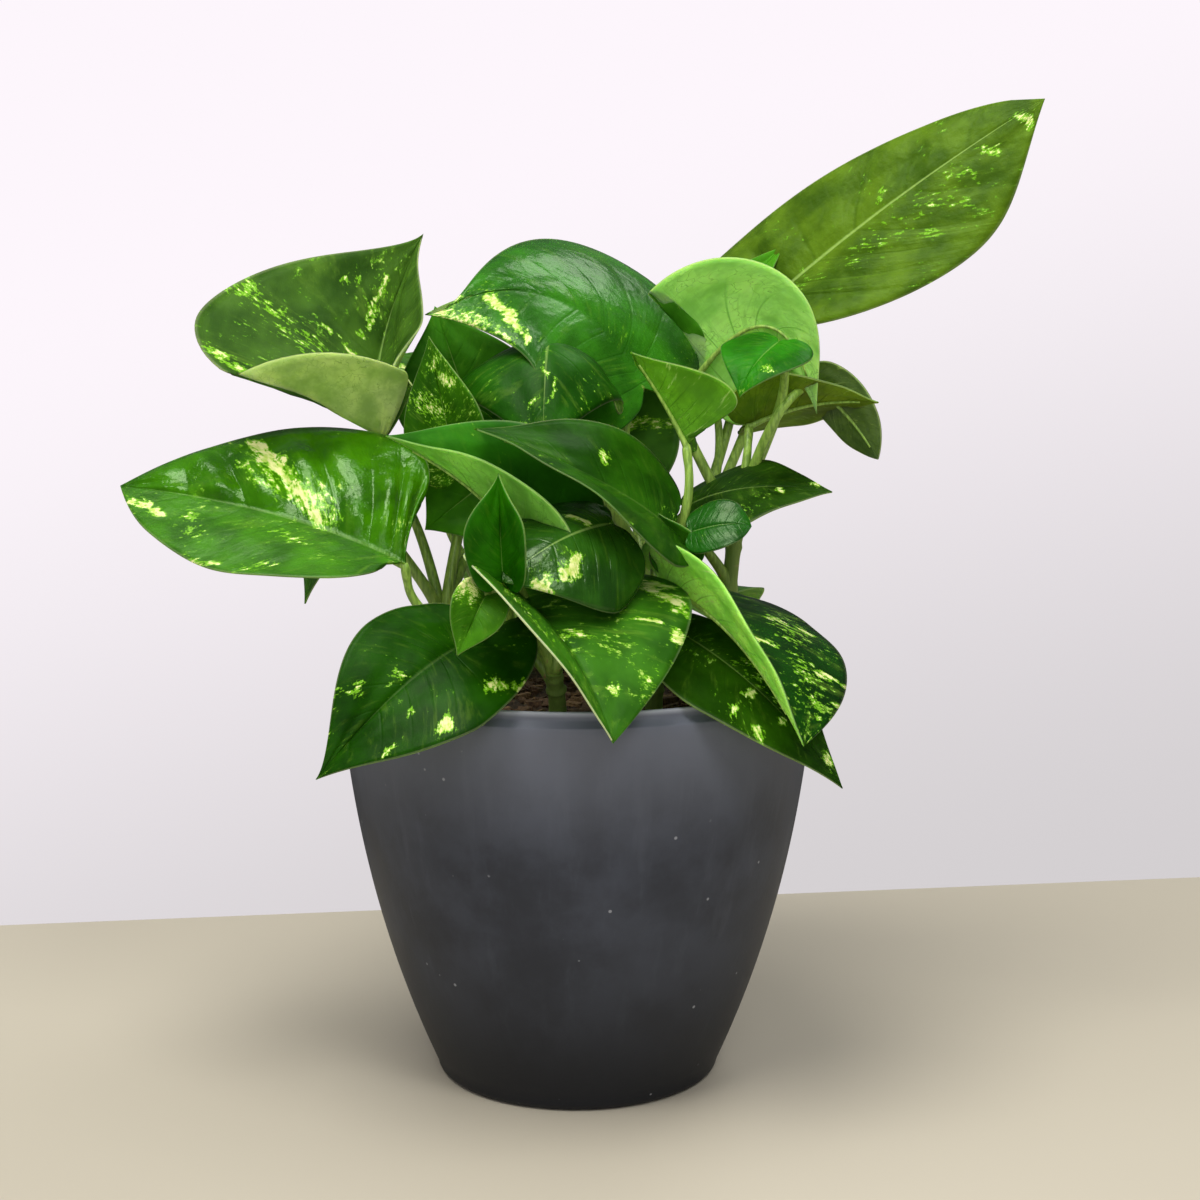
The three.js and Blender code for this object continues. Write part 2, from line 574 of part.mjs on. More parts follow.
// Materials and the finished group
const potMaterial = new THREE.MeshStandardMaterial({ color: 0x434348, roughness: 0.62, metalness: 0 });
const soilMaterial = new THREE.MeshStandardMaterial({ color: 0x4a3527, roughness: 0.95, metalness: 0 });
const leafMaterial = new THREE.MeshStandardMaterial({ color: 0x2c7a23, roughness: 0.4, metalness: 0 });

function named(name, geometry, material) {
  const mesh = new THREE.Mesh(geometry, material);
  mesh.name = name;
  return mesh;
}

const plant = new THREE.Group();
plant.add(named('pot', geometryOf(solidOf(turned(potProfile(), potSegments))), potMaterial));
let soil = solidOf(soilGeometry());
vines.forEach((vine) => {
  soil = soil.subtract(solidOf(rootHole(vine)));
  plant.add(named(vine.name, geometryOf(vineSolid(vine)), leafMaterial.clone()));
});
plant.add(named('potting_mix', geometryOf(soil), soilMaterial));

export default plant;
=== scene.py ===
import math
import random
from functools import partial
from types import SimpleNamespace

import bmesh
import bpy
import numpy as np
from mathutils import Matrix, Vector


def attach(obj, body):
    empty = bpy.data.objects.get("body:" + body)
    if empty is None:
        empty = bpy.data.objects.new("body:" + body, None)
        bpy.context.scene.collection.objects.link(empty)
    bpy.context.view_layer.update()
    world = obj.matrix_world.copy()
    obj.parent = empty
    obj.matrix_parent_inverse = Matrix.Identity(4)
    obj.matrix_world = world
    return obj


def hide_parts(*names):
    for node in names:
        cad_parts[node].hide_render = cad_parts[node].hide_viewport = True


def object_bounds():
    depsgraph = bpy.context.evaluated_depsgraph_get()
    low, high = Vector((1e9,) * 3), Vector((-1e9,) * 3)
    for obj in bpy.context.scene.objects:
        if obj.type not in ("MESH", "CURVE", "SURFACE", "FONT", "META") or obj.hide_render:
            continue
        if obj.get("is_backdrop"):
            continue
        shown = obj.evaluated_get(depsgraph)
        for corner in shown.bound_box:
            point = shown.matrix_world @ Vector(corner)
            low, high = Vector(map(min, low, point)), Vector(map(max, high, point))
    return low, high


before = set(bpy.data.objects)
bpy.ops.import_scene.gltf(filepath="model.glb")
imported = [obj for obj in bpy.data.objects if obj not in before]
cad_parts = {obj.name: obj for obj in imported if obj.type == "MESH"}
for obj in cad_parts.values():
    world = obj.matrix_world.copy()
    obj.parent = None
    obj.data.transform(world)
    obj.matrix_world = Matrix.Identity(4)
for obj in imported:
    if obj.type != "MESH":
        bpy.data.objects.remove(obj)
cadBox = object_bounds()
mm, cm = 0.001, 0.01
print("stage: frame loaded")


# colours are written as in a picture and turned linear here
def linear(code):
    channels = [int(code[i:i + 2], 16) / 255 for i in (0, 2, 4)]
    return [c / 12.92 if c <= 0.04045 else ((c + 0.055) / 1.055) ** 2.4 for c in channels] + [1]


# adds one shader node of a kind, or of a kind with settings, and fills its inputs
# the inputs come in the editor's order or by name; a node given as one stands for its first output
def put(tree, kind, *inOrder, **byName):
    kind, settings = (kind, {}) if isinstance(kind, str) else kind
    node = tree.nodes.new("ShaderNode" + kind)
    for key, value in settings.items():
        setattr(node, key, value)
    shown = [socket for socket in node.inputs if socket.enabled]
    named = [(node.inputs[name.replace("_", " ")], value) for name, value in byName.items()]
    for socket, value in [*zip(shown, inOrder), *named]:
        if isinstance(value, bpy.types.Node):
            value = next(output for output in value.outputs if output.enabled)
        if isinstance(value, bpy.types.NodeSocket):
            tree.links.new(value, socket)
        else:
            socket.default_value = value
    return node


# kinds of node with settings that are used again and again
plus, minus, times, timesPlus, positive, fraction = [
    ("Math", {"operation": operation})
    for operation in ("ADD", "SUBTRACT", "MULTIPLY", "MULTIPLY_ADD", "ABSOLUTE", "FRACT")
]
ramp = ("MapRange", {"interpolation_type": "SMOOTHSTEP"})
mixed, tinted = [("Mix", {"data_type": "RGBA", "blend_type": way}) for way in ("MIX", "MULTIPLY")]


# a ramp from one value to another, times a strength
def mask(add, value, low, high, strength):
    return add(times, add(ramp, value, low, high), strength)


# lays coats over a first colour, each with the share that it covers
def layered(add, colour, *coats):
    for share, coat in coats:
        colour = add(mixed, share, colour, linear(coat) if isinstance(coat, str) else coat)
    return colour


# a material with an empty tree, and put bound to that tree
def newMaterial(name):
    material = bpy.data.materials.new(name)
    material.use_nodes = True
    material.node_tree.nodes.clear()
    return material, partial(put, material.node_tree)


# gives a material its surface, and hands it back
def finished(material, add, **inputs):
    add("OutputMaterial", add("BsdfPrincipled", **inputs))
    return material


# pattern scale for features so many mm wide, on coordinates counted in metres or another unit
def scaleFor(size, unit=1):
    return unit / (size * mm)


def newObject(name, data):
    made = bpy.data.objects.new(name, data)
    bpy.context.scene.collection.objects.link(made)
    return made


# turns a bmesh into a named object of the scene
def newPiece(bm, name, materials):
    mesh = bpy.data.meshes.new(name)
    bm.to_mesh(mesh)
    bm.free()
    for material in materials:
        mesh.materials.append(material)
    return newObject(name, mesh)


# camera, background and table, with places and lengths in mm
room = {
    "cameraPlace": (8, -700, 265), "pitch": 8.0, "lens": 60.9, "sensor": 36, "nearest": 10,
    "wallTop": "fdf6fc", "wallBottom": "d3cfd1", "wallSlant": -0.29, "wallSpan": (-0.36, 0.09),
    "fill": "f4f4fb", "fillPower": 0.33, "fillLostInGloss": -0.16,
    "table": ("beb6a2", "c3bba8"), "tablePatch": 333.3, "tableRough": 0.6,
    "edgeLeft": (-255, 161), "edgeRight": (293, 238), "reach": 1400,
}
camera = newObject("camera", bpy.data.cameras.new("camera"))
camera.location = Vector(room["cameraPlace"]) * mm
camera.rotation_euler = (math.radians(90 - room["pitch"]), 0, 0)
camera.data.lens = room["lens"]
camera.data.sensor_width = room["sensor"]
camera.data.clip_start = room["nearest"] * mm
bpy.context.scene.camera = camera
bpy.context.scene.view_settings.view_transform = "Standard"

# the wall is only a gradient that the camera sees; the plant is lit by an even, weaker fill
world = bpy.data.worlds.new("studio")
bpy.context.scene.world = world
world.use_nodes = True
world.node_tree.nodes.clear()
add = partial(put, world.node_tree)
aim = add("SeparateXYZ", add("TexCoord").outputs["Generated"])
slant = add(timesPlus, aim.outputs["X"], room["wallSlant"], aim.outputs["Z"])
share = add(ramp, slant, *room["wallSpan"])
wall = add(mixed, share, linear(room["wallBottom"]), linear(room["wallTop"]))
rays = add("LightPath")
power = add(timesPlus, rays.outputs["Is Glossy Ray"], room["fillLostInGloss"], room["fillPower"])
fill = add("Background", linear(room["fill"]), power)
seen = add("Background", wall, 1.0)
add("OutputWorld", add("MixShader", rays.outputs["Is Camera Ray"], fill, seen))


# painted table board, matt and almost even, whose far edge rises to the right as in the picture
def tableMaterial():
    material, add = newMaterial("table_top")
    place = add("TexCoord").outputs["Object"]
    patches = add("TexNoise", place, scaleFor(room["tablePatch"]), 2)
    colour = add(mixed, patches, *[linear(code) for code in room["table"]])
    return finished(material, add, Base_Color=colour, Roughness=room["tableRough"])


slope = (room["edgeRight"][1] - room["edgeLeft"][1]) / (room["edgeRight"][0] - room["edgeLeft"][0])
bm = bmesh.new()
bmesh.ops.create_grid(bm, x_segments=1, y_segments=1, size=1)
for vert in bm.verts:
    x = vert.co.x * room["reach"]
    far = room["edgeLeft"][1] + slope * (x - room["edgeLeft"][0])
    vert.co = Vector((x, far if vert.co.y > 0 else -room["reach"], 0)) * mm
tableTop = newPiece(bm, "table_top", [tableMaterial()])
tableTop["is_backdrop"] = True

# soft round lights: place, target and diameter in mm, power in watts, colour
lights = {
    "key": ((-320, -500, 1400), (0, 0, 200), 850, 15, "fffcf8"),
    "top": ((-250, -100, 1350), (0, 0, 220), 800, 4, "ffffff"),
    "back": ((500, 450, 1250), (0, 0, 250), 500, 3, "ffffff"),
    "front": ((400, -850, 1100), (0, 0, 180), 450, 4.5, "ffffff"),
    "low": ((-100, -1400, 400), (0, 0, 150), 900, 4, "f8f8ff"),
}
for name, (place, target, diameter, power, colour) in lights.items():
    light = bpy.data.lights.new(name, "AREA")
    light.shape, light.size, light.energy = "DISK", diameter * mm, power
    light.color = linear(colour)[:3]
    lamp = newObject(name, light)
    lamp.location = Vector(place) * mm
    lamp.rotation_euler = (Vector(target) - Vector(place)).to_track_quat("-Z", "Y").to_euler()
print("stage: room made")

# leaves: the same forms as the solids, drawn finer, with lengths in mm
# wherever the left and right halves differ, a pair of values stands in place of one
blade = {
    "thickness": 0.55, "rows": 66, "columns": 30, "crowding": 1.15, "curlSteps": 24, "boxInset": 0.05,
    "widestX": 0.28, "widestU": 0.3, "lobeNotch": 0.42, "tipFullness": 0.22,
    "sinusHandle": 0.18, "shoulderHandle": 0.27, "tipHandle": 0.8, "veinCrowding": 2.1, "lobeBend": 0.08,
    "veins": 8, "usualLength": 100, "groove": 0.35, "grooveWidth": 0.045, "quilt": 0.12, "wave": 0.9,
    "ripple": 0.5, "ripples": 2.6, "waxyFrom": 0.65,
}
stalk = {
    "footRadius": 2.2, "topRadius": 1.4, "sides": 12, "steps": 22, "green": "90b84a",
    "footSwell": 0.55, "footSwellShare": 0.12, "bend": 7, "bendSteps": 5, "kneeSwell": 0.16,
    "keelSteps": 22, "keelFrom": 0.015, "keelTo": 0.86, "keelRadius": 0.32, "keelTaper": 0.45,
    "keelSink": 0.3,
}
stem = {
    "radius": 3, "taper": 0.16, "sides": 16, "steps": 26, "green": "5f6a28", "knot": 0.5, "knotShare": 0.035,
    "soilHeight": 131, "rootCollar": 2.5, "rootDepth": 12, "rootShare": 0.96,
}
materialSlots = {"top": 0, "under": 1, "stalk": 2, "stem": 3, "waxyTop": 4}
# what each leaf's row holds, in its order: places in mm, width in mm, angles in degrees
# left and right are the fold and curl of each half, at the base and then at the tip
leafParts = ("joint", "tip", "face", "width", "rise", "drop", "left", "right", "lobe", "node")


def leafOf(*values, **more):
    return dict(zip(leafParts, values), **more)


vines = [
    dict(name="vine_front_left", root=(-30, -34), top=(-32, -42, 153), leaves=[
        leafOf((-37, -66, 161), (-79, -92, 124), (-0.2, -0.8, 0.55), 52, 25, 15, (10, -25, 10, -10),
               (18, -20, 38, -15), (0.42, 0.16), 0.4, skew=0.12, notch=(0.05, 0.5), blunt=(0.3, 0.08)),
        leafOf((-55, -46, 185), (-153, -20, 208), (-0.1, -0.4, 0.9), 80, 14, 10, (24, 0, -6, -10),
               (34, -20, 20, -10), (-0.04, -0.05), 0.8, skew=-0.08, blunt=(0.75, 0.5)),
        leafOf((-28, -75, 178), (-36, -84, 161), (0.3, -0.6, 0.7), 20, 40, 10, (30, 10, 20, 0),
               (30, 10, 20, 0), 0.1, 1),
    ]),
    dict(name="vine_front", root=(-6, -40), top=(-7, -48, 150), leaves=[
        leafOf((-20, -52, 177), (12, -100, 137), (0.2, -0.55, 0.8), 80, 25, 30, (7, -20, 6, 0),
               (50, -20, 40, 0), (0, 0.05), 0.5, skew=0.25, blunt=(0.5, 0.22)),
        leafOf((-22, -75, 184), (-23, -80, 217), (-0.2, -0.95, 0), 25, 5, 5, (40, -10, 40, 0),
               (40, -10, 40, 0), 0.1, 0.8, wide=0.42),
        leafOf((11, -55, 199), (-22, -78, 183), (-0.1, -0.75, 0.65), 58, 25, 30, (-5, -60, -10, -40),
               (5, -60, -10, -40), 0.15, 1, blunt=0.5),
        leafOf((-16, -42, 180), (-60, -55, 227), (0.4, -0.2, 0.9), 64, 38, 20, (42, 10, 40, 0),
               (66, -10, 50, 0), (0.05, 0.1), 0.5, skew=-0.12, arrive=(0.2, -0.2, 0.95)),
    ]),
    dict(name="vine_front_right", root=(26, -32), top=(28, -40, 152), leaves=[
        leafOf((37, -41, 160), (85, -70, 116), (0.1, -0.6, 0.8), 46, 20, 20, (0, -20, 0, 0),
               (20, -10, 15, 0), 0.15, 0.35, skew=-0.25),
        leafOf((27, -34, 178), (71, -85, 133), (0.47, -0.48, 0.7), 74, 25, 20, (-6, -12, -5, -5),
               (58, 10, 50, 10), (0.1, 0.05), 0.7, skew=0.45, blunt=(0.9, 0.5), arrive=(0.2, -0.6, 0.75)),
        leafOf((31, -40, 196), (-32, -52, 229), (0.3, -0.5, 0.8), 62, 15, 10, (20, -20, 30, 0),
               (10, -20, 5, 0), (0.1, 0.02), 1),
        leafOf((38, -42, 195), (57, -46, 197), (0.1, -0.75, 0.65), 20, 20, 40, (10, -30, 5, 0),
               (10, -30, 5, 0), 0.1, 0.95, blunt=1),
        leafOf((35, -34, 185), (27, -41, 201), (-0.2, -0.9, 0.2), 20, 10, 10, (30, 0, 20, 0), (30, 0, 20, 0),
               0.1, 0.6, arrive=(0, -0.3, 0.95)),
    ]),
    dict(name="vine_middle", root=(20, -10), top=(24, -14, 172), leaves=[
        leafOf((37, -25, 222), (18, -35, 253), (0.2, 0.9, 0.4), 44, 15, 10, (10, 10, 5, 0), (80, 0, 60, 0),
               (-0.08, 0.1), 0.6, wide=(0.22, 0.28), notch=(0.15, 0.42), arrive=(-0.1, 0.2, 0.97)),
        leafOf((23, 12, 240), (-51, -9, 265), (0, -0.75, 0.65), 94, 25, 25, (0, -20, 5, 0),
               (5, -20, -8, -35), (0.1, 0.08), 0.8, bow=-24, wide=0.3, blunt=(0.4, -0.25)),
        leafOf((-9, 8, 252), (-11, -32, 219), (0, -0.3, 0.95), 84, 80, 35, (-4, -92, -10, -60),
               (0, -75, -5, -50), 0.05, 1, skew=-0.1),
    ]),
    dict(name="vine_right", root=(52, 10), top=(56, 12, 192), leaves=[
        leafOf((39, 0, 200), (86, -20, 206), (0, -0.35, 0.95), 48, 22, 16, (10, -20, 5, 0),
               (-10, -20, -10, 0), 0.12, 0.5, skew=-0.1),
        leafOf((43, 21, 244), (83, 4, 231), (0.1, 0.85, 0.4), 58, 30, 20, (0, -10, 0, 0), (0, -20, 0, 0),
               (0.1, -0.14), 0.8, bow=-32, skew=-0.1, wide=0.1, blunt=(0.12, 0.1)),
        leafOf((68, -12, 256), (54, -28, 238), (-0.2, -0.6, 0.8), 32, 20, 40, (10, -30, 5, 0),
               (10, -30, 5, 0), 0.1, 0.95),
        leafOf((60, 15, 227), (104, 2, 235), (0.1, 0.5, 0.8), 36, 20, 20, (20, 0, 5, 0), (20, 0, 5, 0), 0.1,
               0.9),
        leafOf((82, 12, 242), (105, 8, 215), (0.5, 0.6, 0.3), 24, 20, 20, (20, 0, 5, 0), (20, 0, 5, 0), 0.1,
               1, blunt=0.8),
    ]),
    dict(name="vine_back_right", root=(36, 40), top=(40, 42, 170), leaves=[
        leafOf((64, 42, 265), (162, 20, 339), (-0.35, -0.7, 0.6), 70, 8, 8, (10, -20, -10, 0),
               (24, -10, -10, 0), (0.25, -0.04), 0.8, skew=-0.02, twist=20, notch=(0.8, 0.3), wide=(0, 0.48),
               blunt=(0.66, 0.6)),
        leafOf((52, 50, 262), (75, 45, 290), (-0.35, -0.7, 0.6), 22, 8, 8, (15, -15, 10, 0),
               (15, -15, 10, 0), 0.12, 1),
        leafOf((50, 60, 236), (82, 105, 232), (0.1, 0.5, 0.8), 62, 25, 25, (12, -30, 5, 0), (12, -30, 5, 0),
               0.2, 0.6),
        leafOf((34, 66, 158), (64, 112, 136), (0.1, 0.4, 0.9), 60, 30, 30, (12, -30, 5, 0), (12, -30, 5, 0),
               0.2, 0.3),
    ]),
    dict(name="vine_left", root=(-44, 2), top=(-46, 0, 160), leaves=[
        leafOf((-67, -5, 224), (-56, 46, 294), (0.55, -0.7, 0.43), 99, -25, -15, (15, -20, 5, -45),
               (100, 20, 80, 0), (0.36, 0.3), 0.8, bow=4, skew=0.36, blunt=(0.1, 0.08), notch=0.1, cup=90),
        leafOf((-66, 2, 213), (-94, -5, 166), (-0.7, -0.4, 0.6), 60, 50, 20, (0, -20, 0, 0), (0, -20, 0, 0),
               0.1, 0.6),
        leafOf((-40, -13, 213), (-49, -19, 258), (-0.2, -0.95, 0.2), 30, 10, 10, (20, 0, 10, 0),
               (30, 0, 10, 0), 0.1, 0.9),
        leafOf((-22, 6, 214), (-52, -8, 192), (0.2, -0.9, 0.4), 60, 20, 10, (10, -10, 5, 0), (10, -10, 5, 0),
               0.1, 1),
    ]),
    dict(name="vine_back_left", root=(-26, 36), top=(-30, 40, 162), leaves=[
        leafOf((-36, 23, 226), (-50, 20, 268), (-0.1, -0.9, 0.3), 50, 10, 10, (10, -10, 5, 0),
               (10, -10, 5, 0), 0.1, 0.8),
        leafOf((-26, 56, 214), (-48, 102, 200), (-0.1, 0.5, 0.85), 64, 25, 25, (12, -30, 5, 0),
               (12, -30, 5, 0), 0.2, 0.6),
        leafOf((-52, 46, 207), (-98, 78, 192), (-0.3, 0.3, 0.9), 66, 25, 25, (12, -30, 5, 0),
               (12, -30, 5, 0), 0.2, 0.4),
        leafOf((-46, 55, 236), (-78, 92, 248), (-0.3, 0.3, 0.9), 58, 25, 25, (12, -30, 5, 0),
               (12, -30, 5, 0), 0.2, 1),
    ]),
    dict(name="vine_back", root=(4, 54), top=(4, 60, 158), leaves=[
        leafOf((-4, 36, 207), (26, 58, 262), (0, -0.8, 0.6), 70, 20, 20, (12, -20, 5, 0), (12, -20, 5, 0),
               0.2, 0.8),
        leafOf((3, 76, 228), (4, 124, 216), (0, 0.3, 0.95), 58, 30, 30, (12, -30, 5, 0), (12, -30, 5, 0),
               0.2, 1),
        leafOf((-12, 72, 166), (-26, 120, 138), (0, 0.4, 0.9), 66, 30, 30, (12, -30, 5, 0), (12, -30, 5, 0),
               0.2, 0.5),
    ]),
]


def unit(v):
    return v / np.linalg.norm(v, axis=-1, keepdims=True)


def cubic(a, b, c, d, t):
    return a * (1 - t) ** 3 + 3 * b * t * (1 - t) ** 2 + 3 * c * t * t * (1 - t) + d * t ** 3


# the direction of a cubic with the four ends, times a third of its speed
def cubicSlant(ends, t):
    first, second, third = np.diff(ends, axis=0)
    return first * (1 - t) ** 2 + second * 2 * t * (1 - t) + third * t * t


def mix(a, b, t):
    return a + (b - a) * t


def swing(turns):  # a sine whose place is given in whole turns
    return np.sin(2 * math.pi * turns)


def fadeIn(value, length):  # from 0 to 1 over a length
    return np.clip(value / length, 0, 1)


def halves(value):  # a pair, also from one value that holds for both
    return value if isinstance(value, tuple) else (value, value)


# outline of a flat leaf, one long and one wide each side of the midrib
def marginPoint(u, leaf, half):
    lobe, notch = halves(leaf["lobe"])[half], halves(leaf.get("notch", blade["lobeNotch"]))[half]
    wide = halves(leaf.get("wide", blade["widestX"]))[half]
    blunt = halves(leaf.get("blunt", blade["tipFullness"]))[half]
    t = np.clip(u / blade["widestU"], 0, 1)
    handle = max(wide - blade["sinusHandle"], -lobe)
    backX = cubic(-lobe, -lobe, handle, wide, t)
    backY = cubic(notch, 0.8, 1, 1, t)
    s = np.clip((u - blade["widestU"]) / (1 - blade["widestU"]), 0, 1)
    frontX = cubic(wide, wide + blade["shoulderHandle"], blade["tipHandle"], 1, s)
    frontY = cubic(1, 1, blunt, 0, s)
    back = u < blade["widestU"]
    return np.where(back, backX, frontX), np.where(back, backY, frontY)


# a row follows a side vein from the midrib, at t = 0, out to the margin, at t = 1
def veinPoint(u, t, leaf, half):
    edgeX, edgeY = marginPoint(u, leaf, half)
    foot = u ** blade["veinCrowding"]
    forward = np.minimum(1, u / blade["widestU"])
    middleX = foot + mix(1, 0.35, forward) * (edgeX - foot)
    middleY = mix(0.25, 0.55, forward) * edgeY
    a, b, c = (1 - t) ** 2, 2 * t * (1 - t), t * t
    return a * foot + b * middleX + c * edgeX, b * middleY + c * edgeY


# the midrib's points, directions and upper sides at the shares x of its length
def midrib(leaf, x):
    x = np.atleast_1d(np.asarray(x, float))
    joint, tip = np.array(leaf["joint"], float), np.array(leaf["tip"], float)
    chord = np.linalg.norm(tip - joint)
    along = (tip - joint) / chord
    face = np.array(leaf["face"], float)
    face = unit(face - along * face.dot(along))
    aside = np.cross(face, along)
    rise, drop = math.radians(leaf["rise"]), math.radians(leaf["drop"])
    handle = chord / (3 * math.cos((rise + drop) / 4) ** 2)
    bow = leaf.get("bow", 0)
    ends = np.array([
        (0, 0, 0), (handle * math.cos(rise), bow, handle * math.sin(rise)),
        (chord - handle * math.cos(drop), bow, handle * math.sin(drop)), (chord, 0, 0),
    ])
    t = np.clip(x, 0, 1)[:, None]
    turn = np.stack([along, aside, face])
    point = joint + cubic(*ends, t) @ turn
    tangent = unit(cubicSlant(ends, t) @ turn)
    side = np.cross(face, tangent)
    side = np.where(np.linalg.norm(side, axis=1, keepdims=True) < 0.2, aside, side)
    side = unit(side - tangent * (side * tangent).sum(1, keepdims=True))
    roll = np.radians(leaf.get("twist", 0) * np.maximum(x, 0))[:, None]
    side = side * np.cos(roll) + np.cross(tangent, side) * np.sin(roll)
    upward = np.cross(tangent, side)
    # behind the joint the lobes bend up by the cup angle
    path = cubic(*ends, np.linspace(0, 1, 60)[:, None])
    total = np.linalg.norm(np.diff(path, axis=0), axis=1).sum()
    length = np.maximum(-x, 0)[:, None] * total
    cup = math.radians(leaf.get("cup", 0))
    bend = blade["lobeBend"] * chord
    inside = np.minimum(length, bend)
    flatRun, liftRun = length, 0 * length
    if cup:
        flatRun = bend / cup * np.sin(cup * inside / bend) + (length - inside) * math.cos(cup)
        liftRun = bend / cup * (1 - np.cos(cup * inside / bend)) + (length - inside) * math.sin(cup)
    end = cup * inside / bend
    point = point - tangent * flatRun + upward * liftRun
    upward = upward * np.cos(end) + tangent * np.sin(end)
    return point, tangent, side, upward


# side veins counted along the leaf; they wander a little
def veinRow(u, v, seed):
    sway = 0.28 * swing(1.7 * u + seed) + 0.12 * swing(3.9 * u + 2.3 * seed)
    return blade["veins"] * u + np.abs(v) * sway * np.where(v > 0, 1, -0.8)


# how far the skin stands above the smooth form: quilting, midrib groove, slow waves and edge ripple
def relief(leaf, u, v, look, seed):
    reach = np.abs(v)
    size = math.dist(leaf["joint"], leaf["tip"]) / blade["usualLength"]
    left, right = halves(look.get("quilt", blade["quilt"]))
    swell = np.abs(np.sin(math.pi * veinRow(u, v, seed))) ** 0.8
    uneven = 0.75 + 0.35 * swing(2.3 * u + 1.2 * reach + seed)
    inside = fadeIn(reach, 0.18) * (1 - reach ** 6) * fadeIn(1 - u, 0.2) * np.clip(u * 9, 0.2, 1)
    quilt = np.where(v > 0, left, right) * swell * uneven * inside
    groove = blade["groove"] * np.exp(-(reach / blade["grooveWidth"]) ** 2) * fadeIn(1 - u, 1 / 6)
    wave = swing(1.1 * u + 0.7 * v + seed) * swing(0.8 * u - 1.1 * v + 1.7 * seed)
    wave = look.get("wave", blade["wave"]) * wave * fadeIn(reach, 0.5) * fadeIn(1 - u, 0.25)
    ripple = swing(blade["ripples"] * u + np.where(v > 0, 0.15, 0.6) + seed)
    ripple = look.get("ripple", blade["ripple"]) * ripple * reach ** 5 * fadeIn(1 - u, 0.25) * fadeIn(u, 0.2)
    return size * (quilt + wave + ripple) - groove


# places of blade points: v runs from the right margin, -1, over the midrib to the left one, 1
def bladePoints(leaf, u, v, look, seed):
    left = v >= 0
    sign = np.where(left, 1, -1)
    flats = [veinPoint(u, np.abs(v), leaf, half) for half in (0, 1)]
    x, y = [np.where(left, flats[0][k], flats[1][k]) for k in (0, 1)]
    point, _, side, upward = midrib(leaf, x)
    reach = 1 - (1 - np.clip(x, 0, 1)) ** 2
    turns = [np.where(left, leaf["left"][k], leaf["right"][k]) for k in range(4)]
    fold = np.radians(mix(turns[0], turns[2], reach))
    curl = np.radians(mix(turns[1], turns[3], reach))
    width = leaf["width"] / 2 * (1 + leaf.get("skew", 0) * sign)
    out, lift = np.zeros_like(y), np.zeros_like(y)
    for i in range(blade["curlSteps"]):
        angle = fold + curl * y * (i + 0.5) / blade["curlSteps"]
        out += np.cos(angle) * width * y / blade["curlSteps"]
        lift += np.sin(angle) * width * y / blade["curlSteps"]
    end = fold + curl * y
    skin = relief(leaf, u, v, look, seed)
    out, lift = out - np.sin(end) * skin, lift + np.cos(end) * skin
    places = point + side * (out * sign)[:, None] + upward * lift[:, None]
    return places, x, y * sign * width


# how strongly the cream strokes cover each point; they sway, so that none is straight
def splashAmount(leaf, look, seed, x, y):
    amount = np.zeros_like(x)
    length = math.dist(leaf["joint"], leaf["tip"])
    along = x * length
    for startRow, startSide, endRow, endSide, width, strength in look.get("splashes", ()):
        rows, sides = np.array([startRow, endRow]), np.array([startSide, endSide])
        _, endX, endY = bladePoints(leaf, rows, sides, look, seed)
        start = np.array((endX[0] * length, endY[0]))
        run = np.array((endX[1] * length, endY[1])) - start
        sway = 1.1 * min(width / 3, 1)
        bentX = along + sway * (np.sin(0.55 * y + 9 * seed) + 0.6 * np.sin(1.1 * y + 4 * seed))
        bentY = y + sway * (np.sin(0.5 * along + 5 * seed) + 0.6 * np.sin(1.2 * along + 7 * seed))
        offset = np.stack([bentX, bentY], 1) - start
        share = np.clip(offset @ run / max(run @ run, 1e-6), 0, 1)
        away = np.linalg.norm(offset - share[:, None] * run, axis=1) / width
        amount = np.maximum(amount, strength * np.exp(-1.4 * away ** 2))
    return amount


# draws a blade's upper face from a grid, with its stored colours, and gives the UV places of its points
def drawUpperFace(bm, layers, leaf, look, seed):
    made = bmesh.ops.create_grid(bm, x_segments=blade["columns"], y_segments=blade["rows"], size=1)["verts"]
    flat = np.array([vert.co[:2] for vert in made])
    u = (flat[:, 1] + 1) / 2
    v = np.sign(flat[:, 0]) * np.abs(flat[:, 0]) ** blade["crowding"]
    places, x, y = bladePoints(leaf, u, v, look, seed)
    row = veinRow(u, v, seed)
    cream = splashAmount(leaf, look, seed, x, y)
    along = x * math.dist(leaf["joint"], leaf["tip"])
    fleck, gloss = halves(look.get("fleck", 0.35)), halves(look.get("gloss", 0.5))
    # edge is the strength of a painted highlight along each half's margin
    edge = halves(look.get("edge", 0.1))
    crinkle, rib = look.get("crinkle", 0.3), look.get("rib", 0.25)
    green = linear(look.get("top", "37671a"))
    uvs = {}
    for i, vert in enumerate(made):
        half = 0 if v[i] >= 0 else 1
        vert.co = Vector(places[i]) * mm
        vert[layers["green"]] = green
        vert[layers["marks"]] = (cream[i], fleck[half], edge[half], seed)
        vert[layers["sheen"]] = (gloss[half], crinkle, rib, 1)
        uvs[vert] = ((row[i], v[i]), (along[i] / 10 + seed * 7.3, y[i] / 10 + seed * 3.1))
    faces = list(dict.fromkeys(face for vert in made for face in vert.link_faces))
    for face in faces:
        face.smooth = True
        face.material_index = materialSlots["waxyTop" if max(gloss) > blade["waxyFrom"] else "top"]
        for loop in face.loops:
            loop[layers["vein"]].uv, loop[layers["flat"]].uv = uvs[loop.vert]
    tip = [vert for vert, share in zip(made, u) if share > 1 - 1e-6]
    bmesh.ops.remove_doubles(bm, verts=tip, dist=0.002 * mm)
    return {vert: places for vert, places in uvs.items() if vert.is_valid}, faces


